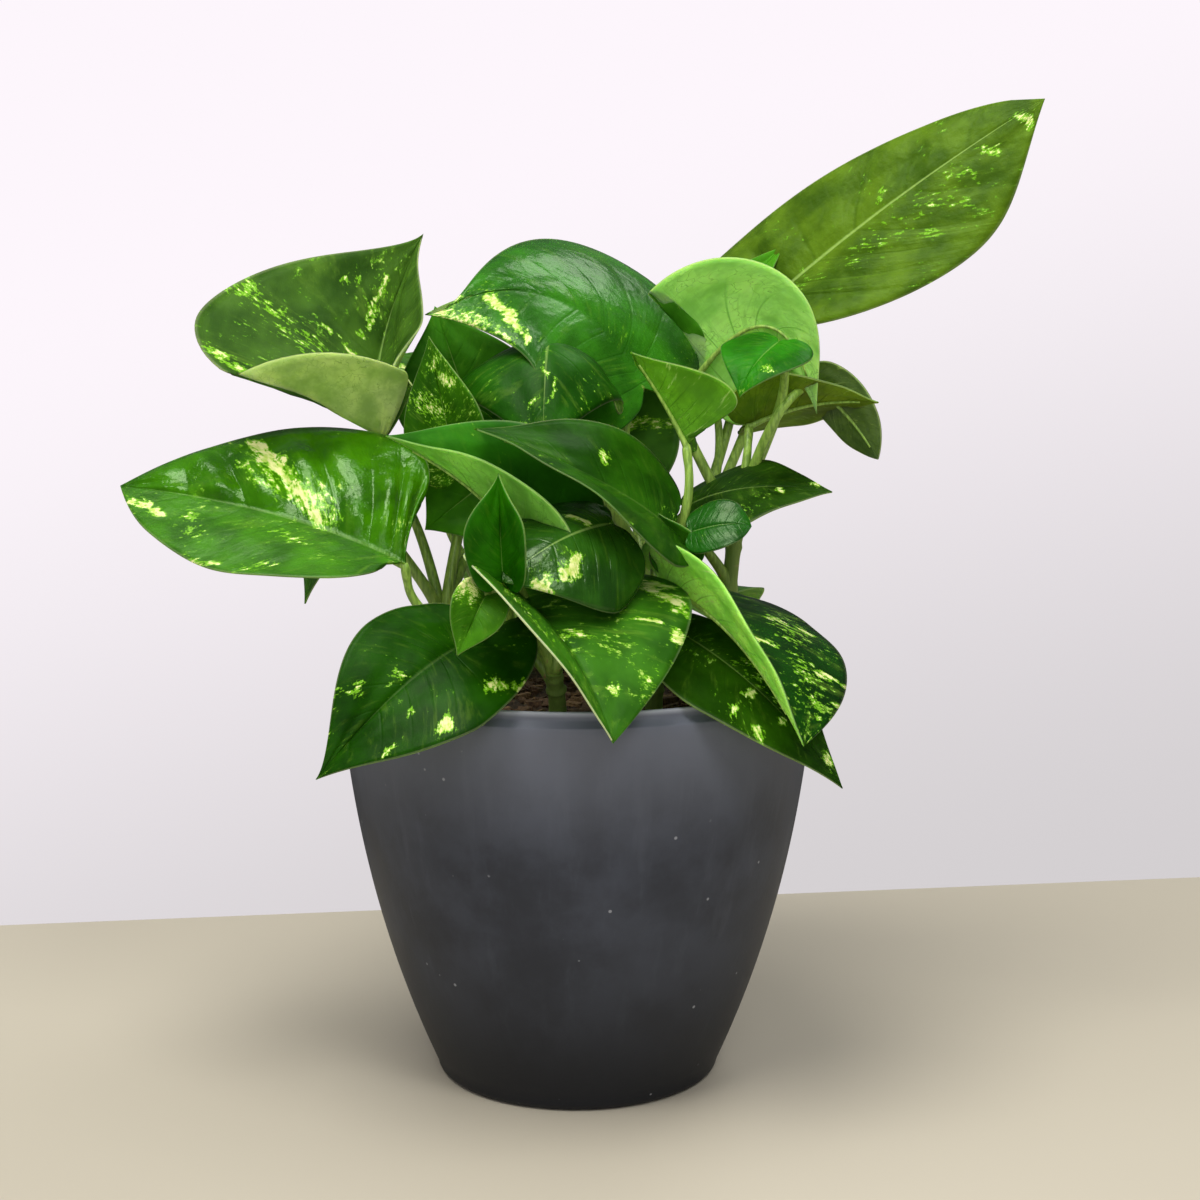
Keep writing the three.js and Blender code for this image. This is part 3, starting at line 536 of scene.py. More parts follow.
# one blade into the vine's mesh: its upper face, a copy of that below it and the rim between them
def addBlade(bm, layers, leaf, look, seed):
    uvs, faces = drawUpperFace(bm, layers, leaf, look, seed)
    bm.normal_update()
    faceUp = Vector(midrib(leaf, 0.4)[3][0])
    if sum(face.normal.dot(faceUp) for face in faces) < 0:
        bmesh.ops.reverse_faces(bm, faces=faces)
        bm.normal_update()
    edges = list(dict.fromkeys(edge for face in faces for edge in face.edges))
    border = [edge for edge in edges if len(edge.link_faces) == 1]
    copy = bmesh.ops.duplicate(bm, geom=[*uvs, *edges, *faces])
    below = [copy["face_map"][face] for face in faces]
    partner = copy["vert_map"]
    # the under face's paler green, brightened on some leaves as painted light shining through the blade
    under = linear(look.get("under", "6c9a38"))
    inset = blade["boxInset"] * mm
    for vert in uvs:
        lift = vert.normal * (blade["thickness"] / 2 * mm)
        for end, place in ((vert, vert.co + lift), (partner[vert], vert.co - lift)):
            end.co = [min(max(place[k], cadBox[0][k] + inset), cadBox[1][k] - inset) for k in range(3)]
        partner[vert][layers["green"]] = under
    bmesh.ops.reverse_faces(bm, faces=below)
    for face in below:
        face.material_index = materialSlots["under"]
    rim = bmesh.ops.bridge_loops(bm, edges=border + [copy["edge_map"][edge] for edge in border])["faces"]
    for face in rim:
        face.material_index, face.smooth = materialSlots["top"], True
        for loop in face.loops:
            above = loop.vert if loop.vert in uvs else partner[loop.vert]
            loop[layers["vein"]].uv, loop[layers["flat"]].uv = uvs[above]


# a round stem rolled from a grid along points, with a radius at each
def addTube(bm, layers, points, radii, sides, slot, colour):
    points, last = np.asarray(points, float), len(points) - 1
    tangents = unit(np.gradient(points, axis=0))
    steps = np.linalg.norm(np.diff(points, axis=0), axis=1)
    run = np.concatenate([[0], np.cumsum(steps)]) / steps.sum()
    across = [np.array((1.0, 0, 0))]
    for tangent in tangents:
        across.append(unit(across[-1] - tangent * across[-1].dot(tangent)))
    across = np.array(across[1:])
    other = np.cross(tangents, across)
    made = bmesh.ops.create_grid(bm, x_segments=sides, y_segments=last, size=1)["verts"]
    flat = np.array([vert.co[:2] for vert in made])
    turn, ring = (flat[:, 0] + 1) / 2, np.rint((flat[:, 1] + 1) / 2 * last).astype(int)
    angle = 2 * math.pi * turn[:, None]
    outward = across[ring] * np.cos(angle) + other[ring] * np.sin(angle)
    places = points[ring] + radii[ring][:, None] * outward
    uvs = {}
    for i, vert in enumerate(made):
        vert.co = Vector(places[i]) * mm
        vert[layers["green"]] = linear(colour)
        uvs[vert] = (run[ring[i]], turn[i])
    for face in {face for vert in made for face in vert.link_faces}:
        face.material_index, face.smooth = materialSlots[slot], True
        for loop in face.loops:
            loop[layers["vein"]].uv = uvs[loop.vert]
    bmesh.ops.remove_doubles(bm, verts=made, dist=0.001 * mm)
    faces = list(dict.fromkeys(face for vert in made if vert.is_valid for face in vert.link_faces))
    ends = [edge for face in faces for edge in face.edges if len(edge.link_faces) == 1]
    caps = bmesh.ops.edgeloop_fill(bm, edges=ends, mat_nr=materialSlots[slot])["faces"]
    bmesh.ops.recalc_face_normals(bm, faces=faces + caps)


def vineCurve(vine, t):
    x, y = vine["root"]
    top = np.array(vine["top"], float)
    low = stem["soilHeight"]
    ends = np.array([
        (x, y, low + stem["rootCollar"]), (x, y, mix(low, top[2], 0.5)),
        (mix(x, top[0], 0.7), mix(y, top[1], 0.7), mix(low, top[2], 0.8)), top,
    ])
    t = np.atleast_1d(np.asarray(t, float))[:, None]
    return cubic(*ends, t), unit(cubicSlant(ends, t))


# a stalk leaves the vine, bends in below the joint and runs on as the keel under the midrib
def addStalk(bm, layers, vine, leaf, look):
    start, leave = [part[0] for part in vineCurve(vine, leaf["node"])]
    point, tangent, _, upward = [part[0] for part in midrib(leaf, 0)]
    joint = point - upward * 0.75 * stalk["topRadius"]
    arrive = unit(np.array(leaf.get("arrive", tangent * 0.4 + upward * 0.9), float))
    below = joint - arrive * stalk["bend"]
    handle = 0.35 * np.linalg.norm(below - start)
    leave = unit(leave + unit(below - start))
    share = np.linspace(0, 1, stalk["steps"])
    path = cubic(start, start + leave * handle, below - arrive * handle, below, share[:, None])
    swell = stalk["footSwell"] * np.exp(-(share / stalk["footSwellShare"]) ** 2)
    radii = mix(stalk["footRadius"], stalk["topRadius"], share) + swell
    turn = np.linspace(0, 1, stalk["bendSteps"] + 1)[1:, None]
    bend = below * (1 - turn) ** 2 + 2 * mix(below, joint, 0.75) * turn * (1 - turn) + turn ** 2 * joint
    knee = stalk["topRadius"] * (1 + stalk["kneeSwell"] * np.sin(turn[:, 0] * math.pi))
    keelX = np.linspace(stalk["keelFrom"], stalk["keelTo"], stalk["keelSteps"])
    ribPoint, _, _, ribUp = midrib(leaf, keelX)
    thin = (keelX / stalk["keelTo"]) ** stalk["keelTaper"]
    keelRadius = mix(stalk["topRadius"] * 0.92, stalk["keelRadius"], thin)
    keel = ribPoint - ribUp * (keelRadius + stalk["keelSink"])[:, None]
    points, radii = np.concatenate([path, bend, keel]), np.concatenate([radii, knee, keelRadius])
    addTube(bm, layers, points, radii, stalk["sides"], "stalk", look.get("stalk", stalk["green"]))


def addStem(bm, layers, vine):
    t = np.linspace(0, 1, stem["steps"])
    path, _ = vineCurve(vine, t)
    x, y = vine["root"]
    root = np.array([(x, y, stem["soilHeight"] - stem["rootDepth"]), (x, y, stem["soilHeight"])])
    radii = stem["radius"] * np.concatenate([[stem["rootShare"], 1], 1 - stem["taper"] * t])
    for leaf in vine["leaves"]:  # a knot where each stalk leaves
        radii[2:] += stem["knot"] * np.exp(-((t - leaf["node"]) / stem["knotShare"]) ** 2)
    addTube(bm, layers, np.concatenate([root, path]), radii, stem["sides"], "stem", stem["green"])


# how each leaf is coloured and marked, by its number on the vine
# splashes are strokes: row and side where each starts, row and side where it ends, width in mm, strength
# an under colour is the under face's paler green, on some leaves brightened as painted light shining through
looks = {
    "vine_front_left": {
        0: dict(top="144000", under="5f8f30", fleck=(0.48, 0.32), gloss=0.5, crinkle=0.2, rib=0.05,
            splashes=(
            (0.22, 0.72, 0.18, 0.97, 3, 0.75), (0.46, 0.73, 0.465, 0.85, 2.2, 1),
            (0.69, 0.86, 0.71, 0.94, 1.6, 0.8), (0.6, 0.45, 0.6, 0.53, 1.6, 0.7),
            (0.64, -0.86, 0.63, -0.74, 3, 0.5), (0.56, -0.3, 0.56, -0.14, 2, 0.5))),
        1: dict(top="316c01", fleck=(0.7, 0.4), gloss=(0.2, 0.95), crinkle=0.9, quilt=(0.2, 3.4), rib=0.1,
            splashes=(
            (0.66, -0.88, 0.61, -0.3, 4.5, 0.85), (0.62, -0.4, 0.56, -0.08, 5, 0.72),
            (0.73, -0.6, 0.66, -0.2, 3, 0.5), (0.54, -0.35, 0.5, -0.1, 3.5, 0.5),
            (0.93, 0.8, 0.85, 0.7, 2.5, 0.95), (0.6, 0.98, 0.5, 0.96, 2, 0.7),
            (0.8, 0.5, 0.68, 0.75, 4, 0.48), (0.62, 0.3, 0.5, 0.35, 4, 0.42),
            (0.4, 0.75, 0.44, 0.95, 3, 0.5))),
        2: dict(top="3c7610", fleck=(0.5, 0.7), gloss=0.5, splashes=((0.2, -0.7, 0.16, -0.98, 6, 0.8),)),
    },
    "vine_front": {
        0: dict(top="2e6311", under="5c9030", fleck=(0.85, 0.75), gloss=0.45, crinkle=0.3, edge=(0.1, 0.6),
            rib=0, splashes=(
            (0.24, 0.75, 0.34, 0.93, 3.5, 0.8), (0.34, 0.75, 0.5, 0.94, 4, 0.8),
            (0.57, 0.66, 0.57, 0.82, 1.5, 0.9), (0.62, 0.93, 0.63, 1, 2.5, 1),
            (0.77, 0.88, 0.79, 0.82, 1.5, 0.9), (0.85, 0.42, 0.87, 0.36, 1.8, 1),
            (0.68, 0.02, 0.66, 0.2, 3.5, 0.5), (0.3, -0.6, 0.6, -0.7, 6, 0.42))),
        1: dict(top="1f6202", fleck=0.3, gloss=0.6),
        2: dict(top="214d0f", fleck=0.4, gloss=0.9, crinkle=0.5, quilt=0.4, rib=0.35, splashes=(
            (0.66, 0.42, 0.7, 0.58, 3.6, 1.1), (0.82, 0.84, 0.86, 0.96, 3.6, 1),
            (0.43, -0.3, 0.43, -0.05, 1.6, 0.8))),
        3: dict(top="276a0c", under="79b64a", fleck=0.2, gloss=0.4),
    },
    "vine_front_right": {
        0: dict(top="1e4303", fleck=0.55, gloss=0.35, splashes=(
            (0.63, -0.2, 0.61, -0.32, 2, 0.85), (0.53, -0.7, 0.53, -0.8, 2, 0.8),
            (0.62, -0.8, 0.62, -0.95, 2.2, 0.75), (0.75, -0.27, 0.75, -0.35, 1.8, 0.8),
            (0.87, 0.85, 0.89, 0.93, 2.5, 0.7), (0.5, 0.3, 0.7, 0.5, 6, 0.35))),
        1: dict(top="0a3600", under="a4f860", fleck=0.85, gloss=0.45, crinkle=0.3, splashes=(
            (0.48, 0.5, 0.48, 0.62, 2, 0.85), (0.47, 0.74, 0.47, 0.84, 2, 0.8),
            (0.69, 0.2, 0.69, 0.3, 2, 0.9), (0.79, 0.05, 0.78, 0.17, 2.2, 0.9),
            (0.74, 0.68, 0.74, 0.82, 2.5, 0.85), (0.73, 0.93, 0.73, 1, 2, 0.75),
            (0.83, 0.87, 0.83, 0.95, 1.6, 0.8), (0.91, 0.8, 0.91, 0.88, 2, 0.7),
            (0.5, 0.6, 0.85, 0.6, 9, 0.36))),
        2: dict(top="1e4c05", under="447a16", fleck=(0.35, 0.25), gloss=0.45, rib=0.1,
            splashes=((0.56, -0.42, 0.54, -0.58, 2.6, 0.7),)),
        3: dict(top="0e4901", fleck=0.2, gloss=0.7),
        4: dict(top="306c10", fleck=0.2, gloss=0.6),
    },
    "vine_middle": {
        0: dict(top="2f5c0d", under="589618", fleck=0.6),
        1: dict(top="28690e", fleck=(0.5, 0.4), gloss=(0.7, 0.8), crinkle=0.6, quilt=(0.2, 0.4), rib=0,
            splashes=(
            (0.87, 0.15, 0.68, 0.82, 2.6, 1.05), (0.97, 0.6, 0.84, 0.98, 6, 0.62),
            (0.93, -0.2, 0.9, -0.8, 3, 0.5), (0.8, 0.85, 0.72, 1, 3, 0.6))),
        2: dict(top="1a4e05", fleck=(0.6, 0.55), gloss=0.55, crinkle=0.3, splashes=(
            (0.68, -0.08, 0.76, 0.06, 1.3, 0.6), (0.76, 0.2, 0.84, 0.26, 1.2, 0.55),
            (0.84, -0.2, 0.84, -0.34, 1.2, 0.6))),
    },
    "vine_right": {
        0: dict(top="1c3e03", fleck=(0.4, 0.5), gloss=0.4, splashes=(
            (0.8, -0.25, 0.8, -0.33, 1.6, 0.7), (0.88, 0.86, 0.9, 0.95, 2, 0.7))),
        1: dict(top="357612", under="9cdf6b", fleck=0.1, stalk="8fb34c"),
        2: dict(top="1e6a06", fleck=0.5, gloss=0.6, crinkle=0.5, quilt=0.3,
            splashes=((0.7, 0.5, 0.66, 0.85, 2, 0.6),)),
        3: dict(top="34681a", under="607619", fleck=0.3, gloss=0.4),
        4: dict(top="5a6a4a", under="52683a", fleck=0.4, gloss=0.6),
    },
    "vine_back_right": {
        0: dict(top="496a12", under="7a9a44", fleck=(0.4, 0.6), gloss=0.4, crinkle=1, quilt=(1.1, 0.9),
            ripple=0.2, wave=0.4, rib=0.5, splashes=(
            (0.69, 0.05, 0.7, 0.25, 2.2, 0.42), (0.7, -0.2, 0.68, -0.7, 2.4, 0.36),
            (0.6, -0.2, 0.57, -0.7, 3, 0.32), (0.86, -0.4, 0.86, -0.6, 2.5, 0.7),
            (0.96, -0.3, 0.94, -0.7, 2.5, 0.8), (0.5, -0.3, 0.8, -0.4, 8, 0.25))),
        1: dict(top="3c8012", fleck=0.1),
    },
    "vine_left": {
        0: dict(top="355918", under="a3bc70", fleck=(0.75, 0.5), gloss=0.35, crinkle=0.5, quilt=(0.3, 0.1),
            splashes=(
            (0.5, 0.96, 0.46, 0.42, 7, 0.4), (0.58, 0.48, 0.58, 0.22, 1.8, 0.7),
            (0.83, 0.45, 0.66, 0.22, 2, 0.62), (0.24, 0.96, 0.2, 0.8, 5, 0.6),
            (0.74, 0.66, 0.72, 0.78, 3, 0.45), (0.48, 0.5, 0.48, 0.2, 4, 0.42))),
        1: dict(top="356c12", fleck=0.3),
        2: dict(top="2d6304", fleck=(0.9, 0.85), gloss=0.4, splashes=(
            (0.89, -0.05, 0.88, -0.3, 3, 0.6), (0.77, -0.35, 0.75, -0.6, 3, 0.7),
            (0.68, 0.1, 0.64, 0.7, 6, 0.5))),
        3: dict(top="2e6a01", under="4a7a20", fleck=0.1, gloss=0.3),
    },
    "vine_back_left": {
        0: dict(top="357612", fleck=0.4),
    },
}
# strokes of the leaves that the picture doesn't show
usualMarks = (
    ((0.35, -0.3, 0.33, -0.9, 3, 0.6), (0.62, 0.2, 0.6, 0.75, 2.5, 0.65), (0.8, -0.2, 0.8, -0.6, 2, 0.55)),
    ((0.5, 0.15, 0.46, 0.95, 3.5, 0.65), (0.28, 0.7, 0.24, 0.95, 3, 0.7), (0.72, -0.4, 0.7, -0.9, 3, 0.5)),
    ((0.55, -0.2, 0.5, -0.9, 4, 0.6), (0.75, 0.3, 0.72, 0.9, 2.5, 0.6)),
)


def buildVine(vine, number, materials):
    bm = bmesh.new()
    layers = {name: bm.verts.layers.float_color.new(name) for name in ("green", "marks", "sheen")}
    layers.update({name: bm.loops.layers.uv.new(name) for name in ("vein", "flat")})
    addStem(bm, layers, vine)
    for i, leaf in enumerate(vine["leaves"]):
        seed = number * 0.731 + i * 0.217
        look = looks.get(vine["name"], {}).get(i) or dict(splashes=usualMarks[(number + i) % len(usualMarks)])
        addBlade(bm, layers, leaf, look, seed)
        addStalk(bm, layers, vine, leaf, look)
    piece = newPiece(bm, vine["name"] + "_grown", materials)
    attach(piece, "root")
    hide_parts(vine["name"])


# what both faces of a blade read: stored values, place along and across the veins, flat place in cm
def bladeInputs(add):
    found = SimpleNamespace(green=add(("Attribute", {"attribute_name": "green"})))
    marks = add(("Attribute", {"attribute_name": "marks"}))
    found.cream, found.fleck, found.edge = add("SeparateColor", marks).outputs
    found.seed = marks.outputs["Alpha"]
    sheen = add(("Attribute", {"attribute_name": "sheen"}))
    found.gloss, found.crinkle, found.rib = add("SeparateColor", sheen).outputs
    found.row, found.side, _ = add("SeparateXYZ", add(("UVMap", {"uv_map": "vein"}))).outputs
    found.flat = add(("UVMap", {"uv_map": "flat"}))
    found.reach = add(positive, found.side)
    place = add(fraction, add(plus, found.row, 0.5))
    found.beat = add(positive, add(minus, place, 0.5))  # 0 on a side vein
    return found


# noise drawn out along the side veins, with so many features to a vein and to half a width
def veinNoise(add, found, across, along, detail, rough):
    x, y = add(times, found.row, across), add(times, found.side, along)
    place = add("CombineXYZ", x, y, add(times, found.seed, 17))
    return add("TexNoise", place, 1, detail, rough)


# noise whose features measure so many mm each way
def stretchedNoise(add, sizes, detail, rough):
    place = add("TexCoord").outputs["Object"]
    scaled = add("Mapping", place, Scale=[scaleFor(size) for size in sizes])
    return add("TexNoise", scaled, 1, detail, rough)


# waxy upper face, with streaks and flecks that follow the side veins
def leafTopMaterial(name, specular, roughest):
    material, add = newMaterial(name)
    found = bladeInputs(add)
    flat, reach = found.flat, found.reach
    streaks = veinNoise(add, found, 3.2, 2.0, 6, 0.62)
    dabs = veinNoise(add, found, 9.5, 11, 4, 0.62)
    blots = add("TexNoise", flat, scaleFor(2.1739, cm), 5, 0.68)
    clusters = add("TexNoise", flat, scaleFor(16.667, cm), 2)
    clouds = add("TexNoise", flat, scaleFor(18.182, cm), 3, 0.55)
    grain = add("TexNoise", flat, scaleFor(0.71429, cm), 4, 0.65)
    veinLine = mask(add, found.beat, 0.07, 0.0, add(ramp, reach, 0.98, 0.3))
    # flecks: torn dabs, gathered in clusters
    bar = add(timesPlus, found.fleck, -0.12, 0.69)
    bar = add(timesPlus, add(minus, 0.5, clusters), 0.34, bar)
    torn = add(timesPlus, dabs, 0.45, add(times, streaks, 0.2))
    torn = add(timesPlus, blots, 0.35, torn)
    fleckRim = mask(add, torn, add(plus, bar, -0.035), add(plus, bar, 0.005), 0.7)
    fleckCore = mask(add, torn, add(plus, bar, 0.012), add(plus, bar, 0.03), 0.8)
    # cream splashes, torn along the veins, each with a pale green halo
    cream = add(timesPlus, add(minus, torn, 0.5), 3.6, found.cream)
    painted = add(ramp, found.cream, 0.04, 0.2)
    halo = add(times, mask(add, cream, 0.34, 0.5, painted), 0.9)
    core = mask(add, cream, 0.56, 0.68, painted)
    darker = add(tinted, 1.0, found.green, (0.58, 0.63, 0.55, 1))
    lighter = add(tinted, 1.0, found.green, (1.4, 1.26, 1.2, 1))
    paler = add(mixed, 0.5, found.green, linear("8dbb3a"))
    green = layered(
        add, darker, (add(ramp, clouds, 0.34, 0.66), lighter),
        # painted shade in the sunken side veins, deeper on crinklier leaves
        (add(times, veinLine, add(times, found.crinkle, 0.4)), darker),
        (mask(add, streaks, 0.52, 0.68, add(times, found.fleck, 0.4)), paler),
        (fleckRim, "66a41e"), (fleckCore, "b2d062"), (halo, "74b41e"),
        (core, add(mixed, add(ramp, dabs, 0.4, 0.62), linear("b4d25a"), linear("e4e6a0"))),
        (mask(add, reach, 0.028, 0.006, found.rib), "a9cc6a"),  # midrib
        # margin: a pale band painted as a highlight along the edge
        (mask(add, reach, 0.978, 0.996, found.edge), "dfe6b4"),  # margin
    )
    # relief: crinkles between the veins and fine grain
    coarse = add("TexNoise", flat, scaleFor(5.5556, cm), 4)
    height = add(plus, veinNoise(add, found, 2.0, 2.6, 3, 0.5), coarse)
    height = add(times, height, add(times, found.crinkle, 1.56))
    height = add(timesPlus, veinLine, -0.15, height)
    height = add(timesPlus, grain, 0.05, height)
    rough = add(timesPlus, found.gloss, -0.38, roughest)
    rough = add(timesPlus, add(minus, grain, 0.5), 0.2, rough)
    return finished(
        material, add, Base_Color=green, Roughness=rough,
        Normal=add("Bump", Height=height, Strength=0.5, Distance=1.1 * mm),
        Specular_IOR_Level=specular, Specular_Tint=(0.75, 1, 0.6, 1),
        Subsurface_Weight=0.15, Subsurface_Radius=(0.7, 1.0, 0.1), Subsurface_Scale=2 * mm,
    )


# matt under face: paler, with a net of darker veins that shows in places
def leafUnderMaterial():
    material, add = newMaterial("leaf_under")
    found = bladeInputs(add)
    flat, reach = found.flat, found.reach
    clouds = add("TexNoise", flat, scaleFor(12.5, cm), 4, 0.6)
    streaks = veinNoise(add, found, 4.5, 1.8, 5, 0.62)
    bent = add("VectorMath", flat, add("TexNoise", flat, scaleFor(4, cm), 2).outputs["Color"])
    cells = add(("TexVoronoi", {"feature": "DISTANCE_TO_EDGE"}), bent, scaleFor(4.5455, cm))
    net = mask(add, cells, 0.035, 0.0, add(ramp, clouds, 0.4, 0.6))
    veinLine = mask(add, found.beat, 0.05, 0.0, add(ramp, reach, 0.97, 0.2))
    darker = add(tinted, 1.0, found.green, (0.6, 0.66, 0.55, 1))
    lighter = add(tinted, 1.0, found.green, (1.22, 1.16, 1.2, 1))
    deep = add(tinted, 1.0, found.green, (0.4, 0.48, 0.35, 1))
    green = layered(
        add, darker, (add(ramp, clouds, 0.34, 0.66), lighter), (mask(add, streaks, 0.5, 0.36, 0.45), darker),
        (add(times, net, 0.7), deep), (add(times, veinLine, 0.75), deep),
        (mask(add, streaks, 0.6, 0.72, found.fleck), "b9cf7c"),
        (mask(add, reach, 0.975, 0.995, 0.5), "b9cc8a"),  # margin
    )
    height = add(timesPlus, net, 0.4, add(times, streaks, 1.2))
    height = add(plus, height, veinLine)
    return finished(
        material, add, Base_Color=green, Roughness=0.58,
        Normal=add("Bump", Height=height, Strength=0.35, Distance=0.6 * mm), Specular_IOR_Level=0.15,
        Subsurface_Weight=0.6, Subsurface_Radius=(0.8, 1.0, 0.2), Subsurface_Scale=3 * mm,
    )


# stalks: smooth pale green, duller at the foot with dry papery streaks
def stalkMaterial():
    material, add = newMaterial("leaf_stalk")
    run = add("SeparateXYZ", add(("UVMap", {"uv_map": "vein"}))).outputs["X"]
    own = add(("Attribute", {"attribute_name": "green"}))
    streak = stretchedNoise(add, (1.1111, 1.1111, 11.111), 4, 0.6)
    darker = add(tinted, 1.0, own, (0.6, 0.65, 0.55, 1))
    lighter = add(tinted, 1.0, own, (1.35, 1.25, 1.3, 1))
    foot = add(mixed, streak, linear("6d8c34"), linear("a0b45a"))
    green = layered(
        add, darker, (add(ramp, streak, 0.35, 0.65), lighter),
        (mask(add, add(timesPlus, streak, 0.25, run), 0.42, 0.16, 0.4), foot),
        (mask(add, streak, 0.6, 0.68, add(ramp, run, 0.22, 0.06)), "a58b5c"),
    )
    bump = add("Bump", Height=streak, Strength=0.25, Distance=0.4 * mm)
    return finished(material, add, Base_Color=green, Roughness=0.42, Normal=bump)


# rooted stem: dull olive bark with paler lengthwise strips and dry rings
def stemMaterial():
    material, add = newMaterial("vine_stem")
    strips = stretchedNoise(add, (1.42857, 1.42857, 16.6667), 5, 0.65)
    rings = stretchedNoise(add, (16.6667, 16.6667, 2), 3, 0.5)
    colour = layered(add, linear("557326"), (strips, "9ab852"), (add(ramp, rings, 0.62, 0.85), "a99a6c"))
    bump = add("Bump", Height=strips, Strength=0.5, Distance=0.6 * mm)
    return finished(material, add, Base_Color=colour, Roughness=0.62, Normal=bump)


# in the order of materialSlots, the numbers being specular level and greatest roughness
plantMaterials = [
    leafTopMaterial("leaf_top", 0.09, 0.6), leafUnderMaterial(), stalkMaterial(), stemMaterial(),
    leafTopMaterial("leaf_top_waxy", 0.36, 0.56),
]
for number, vine in enumerate(vines):
    buildVine(vine, number, plantMaterials)
print("stage: vines grown")

# pot: the solid's profile turned finer, in mm
pot = {
    "height": 142.5, "footRadius": 46.5, "footFlat": 6, "footRound": 3.5, "bellyLow": 69.8, "bellyHigh": 79.3,
    "shoulder": (82.5, 137.5), "shoulderRound": ((0.1, 0.3), (0.45, 0.55)), "lipRadius": 80, "chamfer": 2.5,
    "lipFoot": ((0.35, -0.5), (0.08, -0.1), (0, 0.4)), "lipRound": 0.7, "wall": 4.3, "floor": 6,
    "segments": 160, "outsideSteps": 40, "insideRings": 4, "roundSteps": 5,
}


def potOutside(height):
    foot = pot["footRadius"] + pot["footRound"]
    t = (height - pot["footRound"]) / (pot["shoulder"][1] - pot["footRound"])
    return cubic(foot, pot["bellyLow"], pot["bellyHigh"], pot["shoulder"][0], t)


rings = pot["insideRings"]
insideHeights = [mix(pot["floor"], pot["shoulder"][1], i / rings) for i in range(rings + 1)]
insideRadii = [potOutside(height) - pot["wall"] for height in insideHeights]


def arc(centre, radius, start, end):
    steps = pot["roundSteps"]
    angles = [math.radians(mix(start, end, i / steps)) for i in range(steps + 1)]
    return [(centre[0] + radius * math.cos(a), centre[1] + radius * math.sin(a)) for a in angles]


# spins a profile of (radius, height) points from axis to axis into a closed body
def turned(bm, profile, segments):
    outline = [bm.verts.new((radius * mm, 0, height * mm)) for radius, height in profile]
    edges = [bm.edges.new(pair) for pair in zip(outline, outline[1:])]
    bmesh.ops.spin(
        bm, geom=outline + edges, cent=(0, 0, 0), axis=(0, 0, 1), dvec=(0, 0, 0),
        angle=2 * math.pi, steps=segments, use_merge=True,
    )
    bmesh.ops.remove_doubles(bm, verts=bm.verts, dist=0.001 * mm)
    bmesh.ops.recalc_face_normals(bm, faces=bm.faces)
    for face in bm.faces:
        face.smooth = True


profile = [(0, 0), (pot["footRadius"] - pot["footFlat"], 0), (pot["footRadius"], 0)]
profile += arc((pot["footRadius"], pot["footRound"]), pot["footRound"], -90, -18)[1:]
for i in range(pot["outsideSteps"] + 1):
    height = mix(pot["footRound"], pot["shoulder"][1], i / pot["outsideSteps"])
    profile.append((potOutside(height), height))
radius, height = pot["shoulder"]
profile += [(radius - inward, height + up) for inward, up in pot["shoulderRound"]]
profile += [(pot["lipRadius"] + out, height + pot["chamfer"] + up) for out, up in pot["lipFoot"]]
lipTop = pot["height"] - pot["lipRound"]
profile += arc((pot["lipRadius"] - pot["lipRound"], lipTop), pot["lipRound"], 0, 90)
profile += arc((insideRadii[-1] + pot["lipRound"], lipTop), pot["lipRound"], 90, 180)
profile += list(zip(insideRadii, insideHeights))[::-1] + [(0, pot["floor"])]


# slate grey moulded plastic, matt and mottled, with faint upright streaks and pale specks
# painted shade makes it darker towards the foot, painted light makes it paler towards the rim, and a painted
# highlight lies along the lip's top
def potMaterial():
    material, add = newMaterial("slate_plastic")
    place = add("TexCoord").outputs["Object"]
    mottle = add("TexNoise", place, scaleFor(26.3158), 5, 0.6)
    large = add("TexNoise", place, scaleFor(111.111), 3)
    fine = add("TexNoise", place, scaleFor(1.11111), 2)
    patches = add("TexNoise", place, scaleFor(16.6667), 2)
    streaks = stretchedNoise(add, (5.88235, 5.88235, 142.857), 4, 0.55)
    specks = add("TexVoronoi", place, scaleFor(7.69231))
    height = add("SeparateXYZ", place).outputs["Z"]
    dots = mask(add, specks, 0.09, 0.05, add(ramp, patches, 0.52, 0.58))
    colour = layered(
        add, linear("2a2d35"), (add(ramp, mottle, 0.3, 0.7), "3b3f49"),
        (mask(add, large, 0.35, 0.7, 0.2), "4f545e"), (mask(add, streaks, 0.5, 0.75, 0.16), "5d626d"),
        # painted shade towards the foot, painted light towards the rim, and a painted highlight on the lip's
        # top
        (add(ramp, height, 85 * mm, 0.0), "16181d"), (mask(add, height, 90 * mm, 142 * mm, 0.7), "70747f"),
        (add(ramp, height, 140.5 * mm, 142.5 * mm), "a0a4ab"), (add(times, dots, 0.55), "a9abb0"),
    )
    rough = add(timesPlus, mottle, 0.16, 0.44)
    bump = add("Bump", Height=add(timesPlus, fine, 0.4, mottle), Strength=0.16, Distance=0.5 * mm)
    return finished(material, add, Base_Color=colour, Roughness=rough, Normal=bump, Specular_IOR_Level=0.25)


bm = bmesh.new()
turned(bm, profile, pot["segments"])
potShell = newPiece(bm, "pot_shell", [potMaterial()])
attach(potShell, "root")
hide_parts("pot")
print("stage: pot turned")

# potting mix: a bed with a crumbly top, and loose bark on it, in mm
mixBed = {
    "height": 131, "gap": 0.3, "bump": 0.9, "rings": 46, "segments": 120, "crumb": 1.1, "crumbSink": 0.6,
    "flatEdge": 1, "fadeLength": 4, "chips": 520, "chipLong": (3.5, 9.5), "chipWide": (2, 5),
    "chipThick": (1.0, 2.6), "chipTaper": (0.62, 1.1), "chipTilt": 0.35, "chipLift": 0.5, "chipDrawnIn": 0.3,
    "edgeGap": 3.2, "wallGap": 0.5, "stemClear": 4.6, "seed": 11,
}


def soilTop(x, y):
    wave = math.sin(x * 0.21 + 1) * math.cos(y * 0.17) + 0.5 * math.sin(y * 0.31 + x * 0.12)
    return mixBed["height"] + mixBed["bump"] * wave


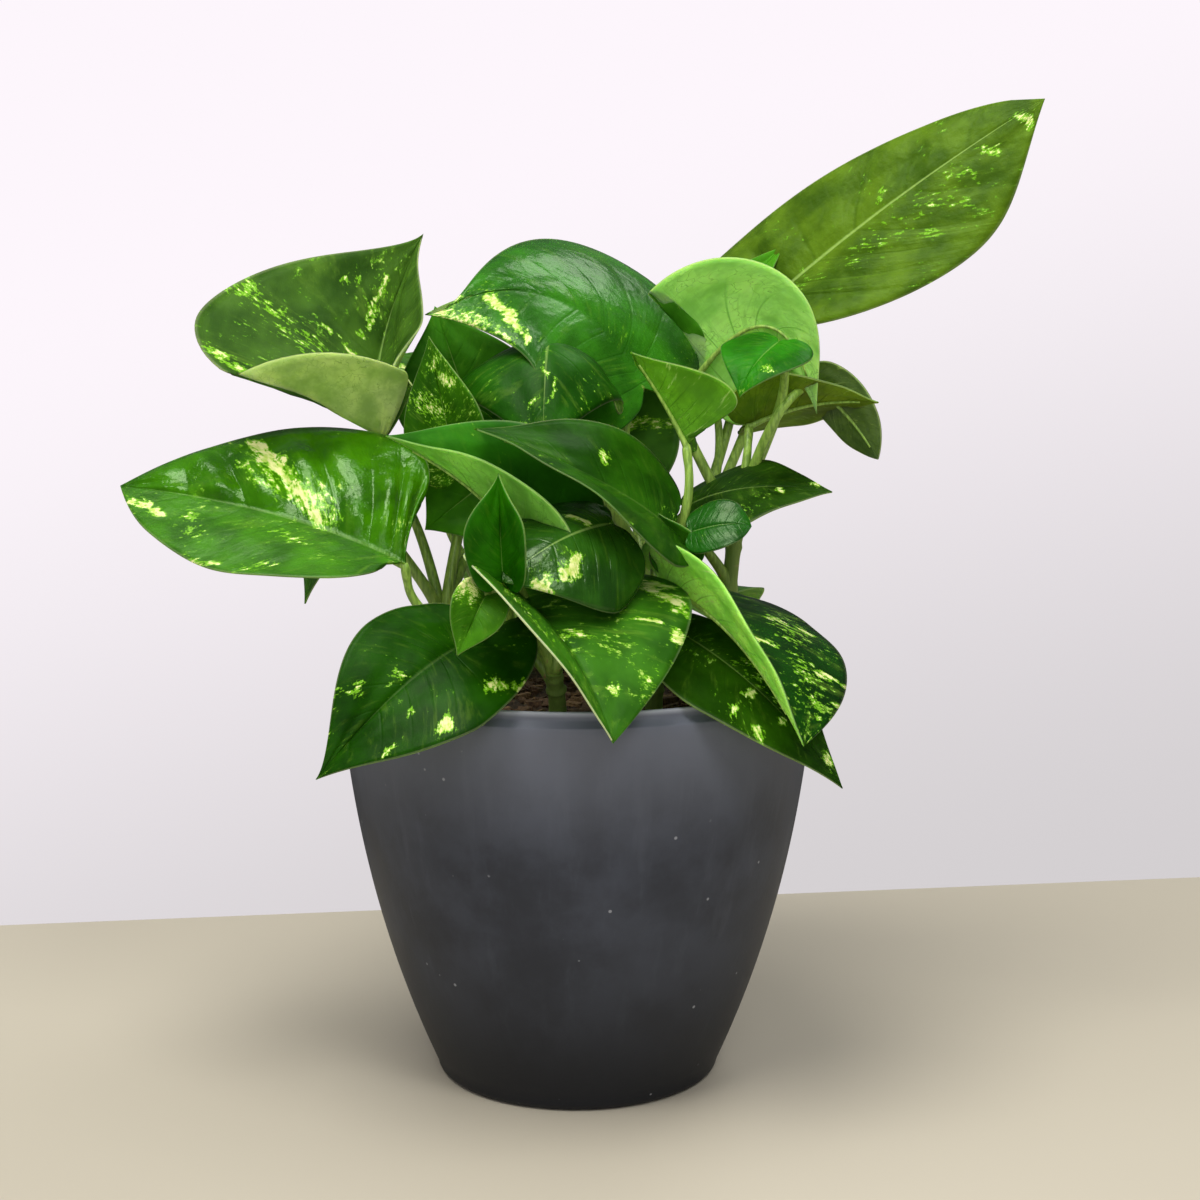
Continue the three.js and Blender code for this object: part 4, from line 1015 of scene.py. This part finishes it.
draw = random.Random(mixBed["seed"])
top, rings = mixBed["height"], mixBed["rings"]
heights = [height for height in insideHeights if height < top] + [top]
bedProfile = [(0, pot["floor"])]
for height in heights:
    bedProfile.append((float(np.interp(height, insideHeights, insideRadii)) - mixBed["gap"], height))
edgeRadius = bedProfile[-1][0]
bedProfile += [(edgeRadius * i / rings, top) for i in range(rings - 1, -1, -1)]
bm = bmesh.new()
turned(bm, bedProfile, mixBed["segments"])
for vert in bm.verts:
    x, y, z = [c / mm for c in vert.co]
    radius = math.hypot(x, y)
    if z > top - 0.01 and radius < edgeRadius - mixBed["flatEdge"]:
        fade = min(1, (edgeRadius - radius) / mixBed["fadeLength"])
        crumbs = (draw.random() - 0.5) * 2 * mixBed["crumb"] * fade
        vert.co.z = (mix(z, soilTop(x, y), fade) + crumbs - mixBed["crumbSink"] * fade) * mm
for number in range(mixBed["chips"]):
    angle, radius = draw.uniform(0, 2 * math.pi), edgeRadius * math.sqrt(draw.random()) - mixBed["edgeGap"]
    x, y = radius * math.cos(angle), radius * math.sin(angle)
    if radius < 0 or any(math.dist((x, y), vine["root"]) < mixBed["stemClear"] for vine in vines):
        continue
    chip = bmesh.ops.create_cube(bm, size=1)["verts"]
    size = [draw.uniform(*mixBed[side]) for side in ("chipLong", "chipWide", "chipThick")]
    turn, tilt = draw.uniform(0, 2 * math.pi), draw.uniform(-mixBed["chipTilt"], mixBed["chipTilt"])
    for vert in chip:
        a, b, c = [vert.co[i] * size[i] * draw.uniform(*mixBed["chipTaper"]) for i in range(3)]
        a, c = a * math.cos(tilt) - c * math.sin(tilt), a * math.sin(tilt) + c * math.cos(tilt)
        a, b = a * math.cos(turn) - b * math.sin(turn), a * math.sin(turn) + b * math.cos(turn)
        if math.hypot(x + a, y + b) > edgeRadius - mixBed["wallGap"]:
            a, b = a * mixBed["chipDrawnIn"], b * mixBed["chipDrawnIn"]
        vert.co = Vector((x + a, y + b, soilTop(x, y) + mixBed["chipLift"] + c)) * mm
    for face in {face for vert in chip for face in vert.link_faces}:
        face.material_index = 1 + (number % 3 == 0)  # every third chip is pale


# peat and bark are dull and grainy, with a few lighter fibres
def earthMaterial(name, dark, pale, grainSize):
    material, add = newMaterial(name)
    place = add("TexCoord").outputs["Object"]
    grain = add("TexNoise", place, scaleFor(grainSize), 6, 0.7)
    fibres = stretchedNoise(add, (1.11111, 5.55556, 5.55556), 4, 0.6)
    colour = layered(
        add, linear(dark), (add(ramp, grain, 0.35, 0.7), pale), (mask(add, fibres, 0.55, 0.7, 0.4), "8c6e4a"),
    )
    bump = add("Bump", Height=grain, Strength=0.7, Distance=1.2 * mm)
    return finished(material, add, Base_Color=colour, Roughness=0.9, Normal=bump)


earths = (
    ("peat", "20180f", "4a3826", 1.66667), ("bark", "3a2817", "6d5136", 1.11111),
    ("pale_bark", "5a4428", "94764e", 1.11111),
)
bed = newPiece(bm, "potting_mix_bed", [earthMaterial(*earth) for earth in earths])
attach(bed, "root")
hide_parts("potting_mix")
print("stage: potting mix laid")

size = {"cad": [list(corner) for corner in cadBox], "visual": [list(corner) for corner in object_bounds()]}
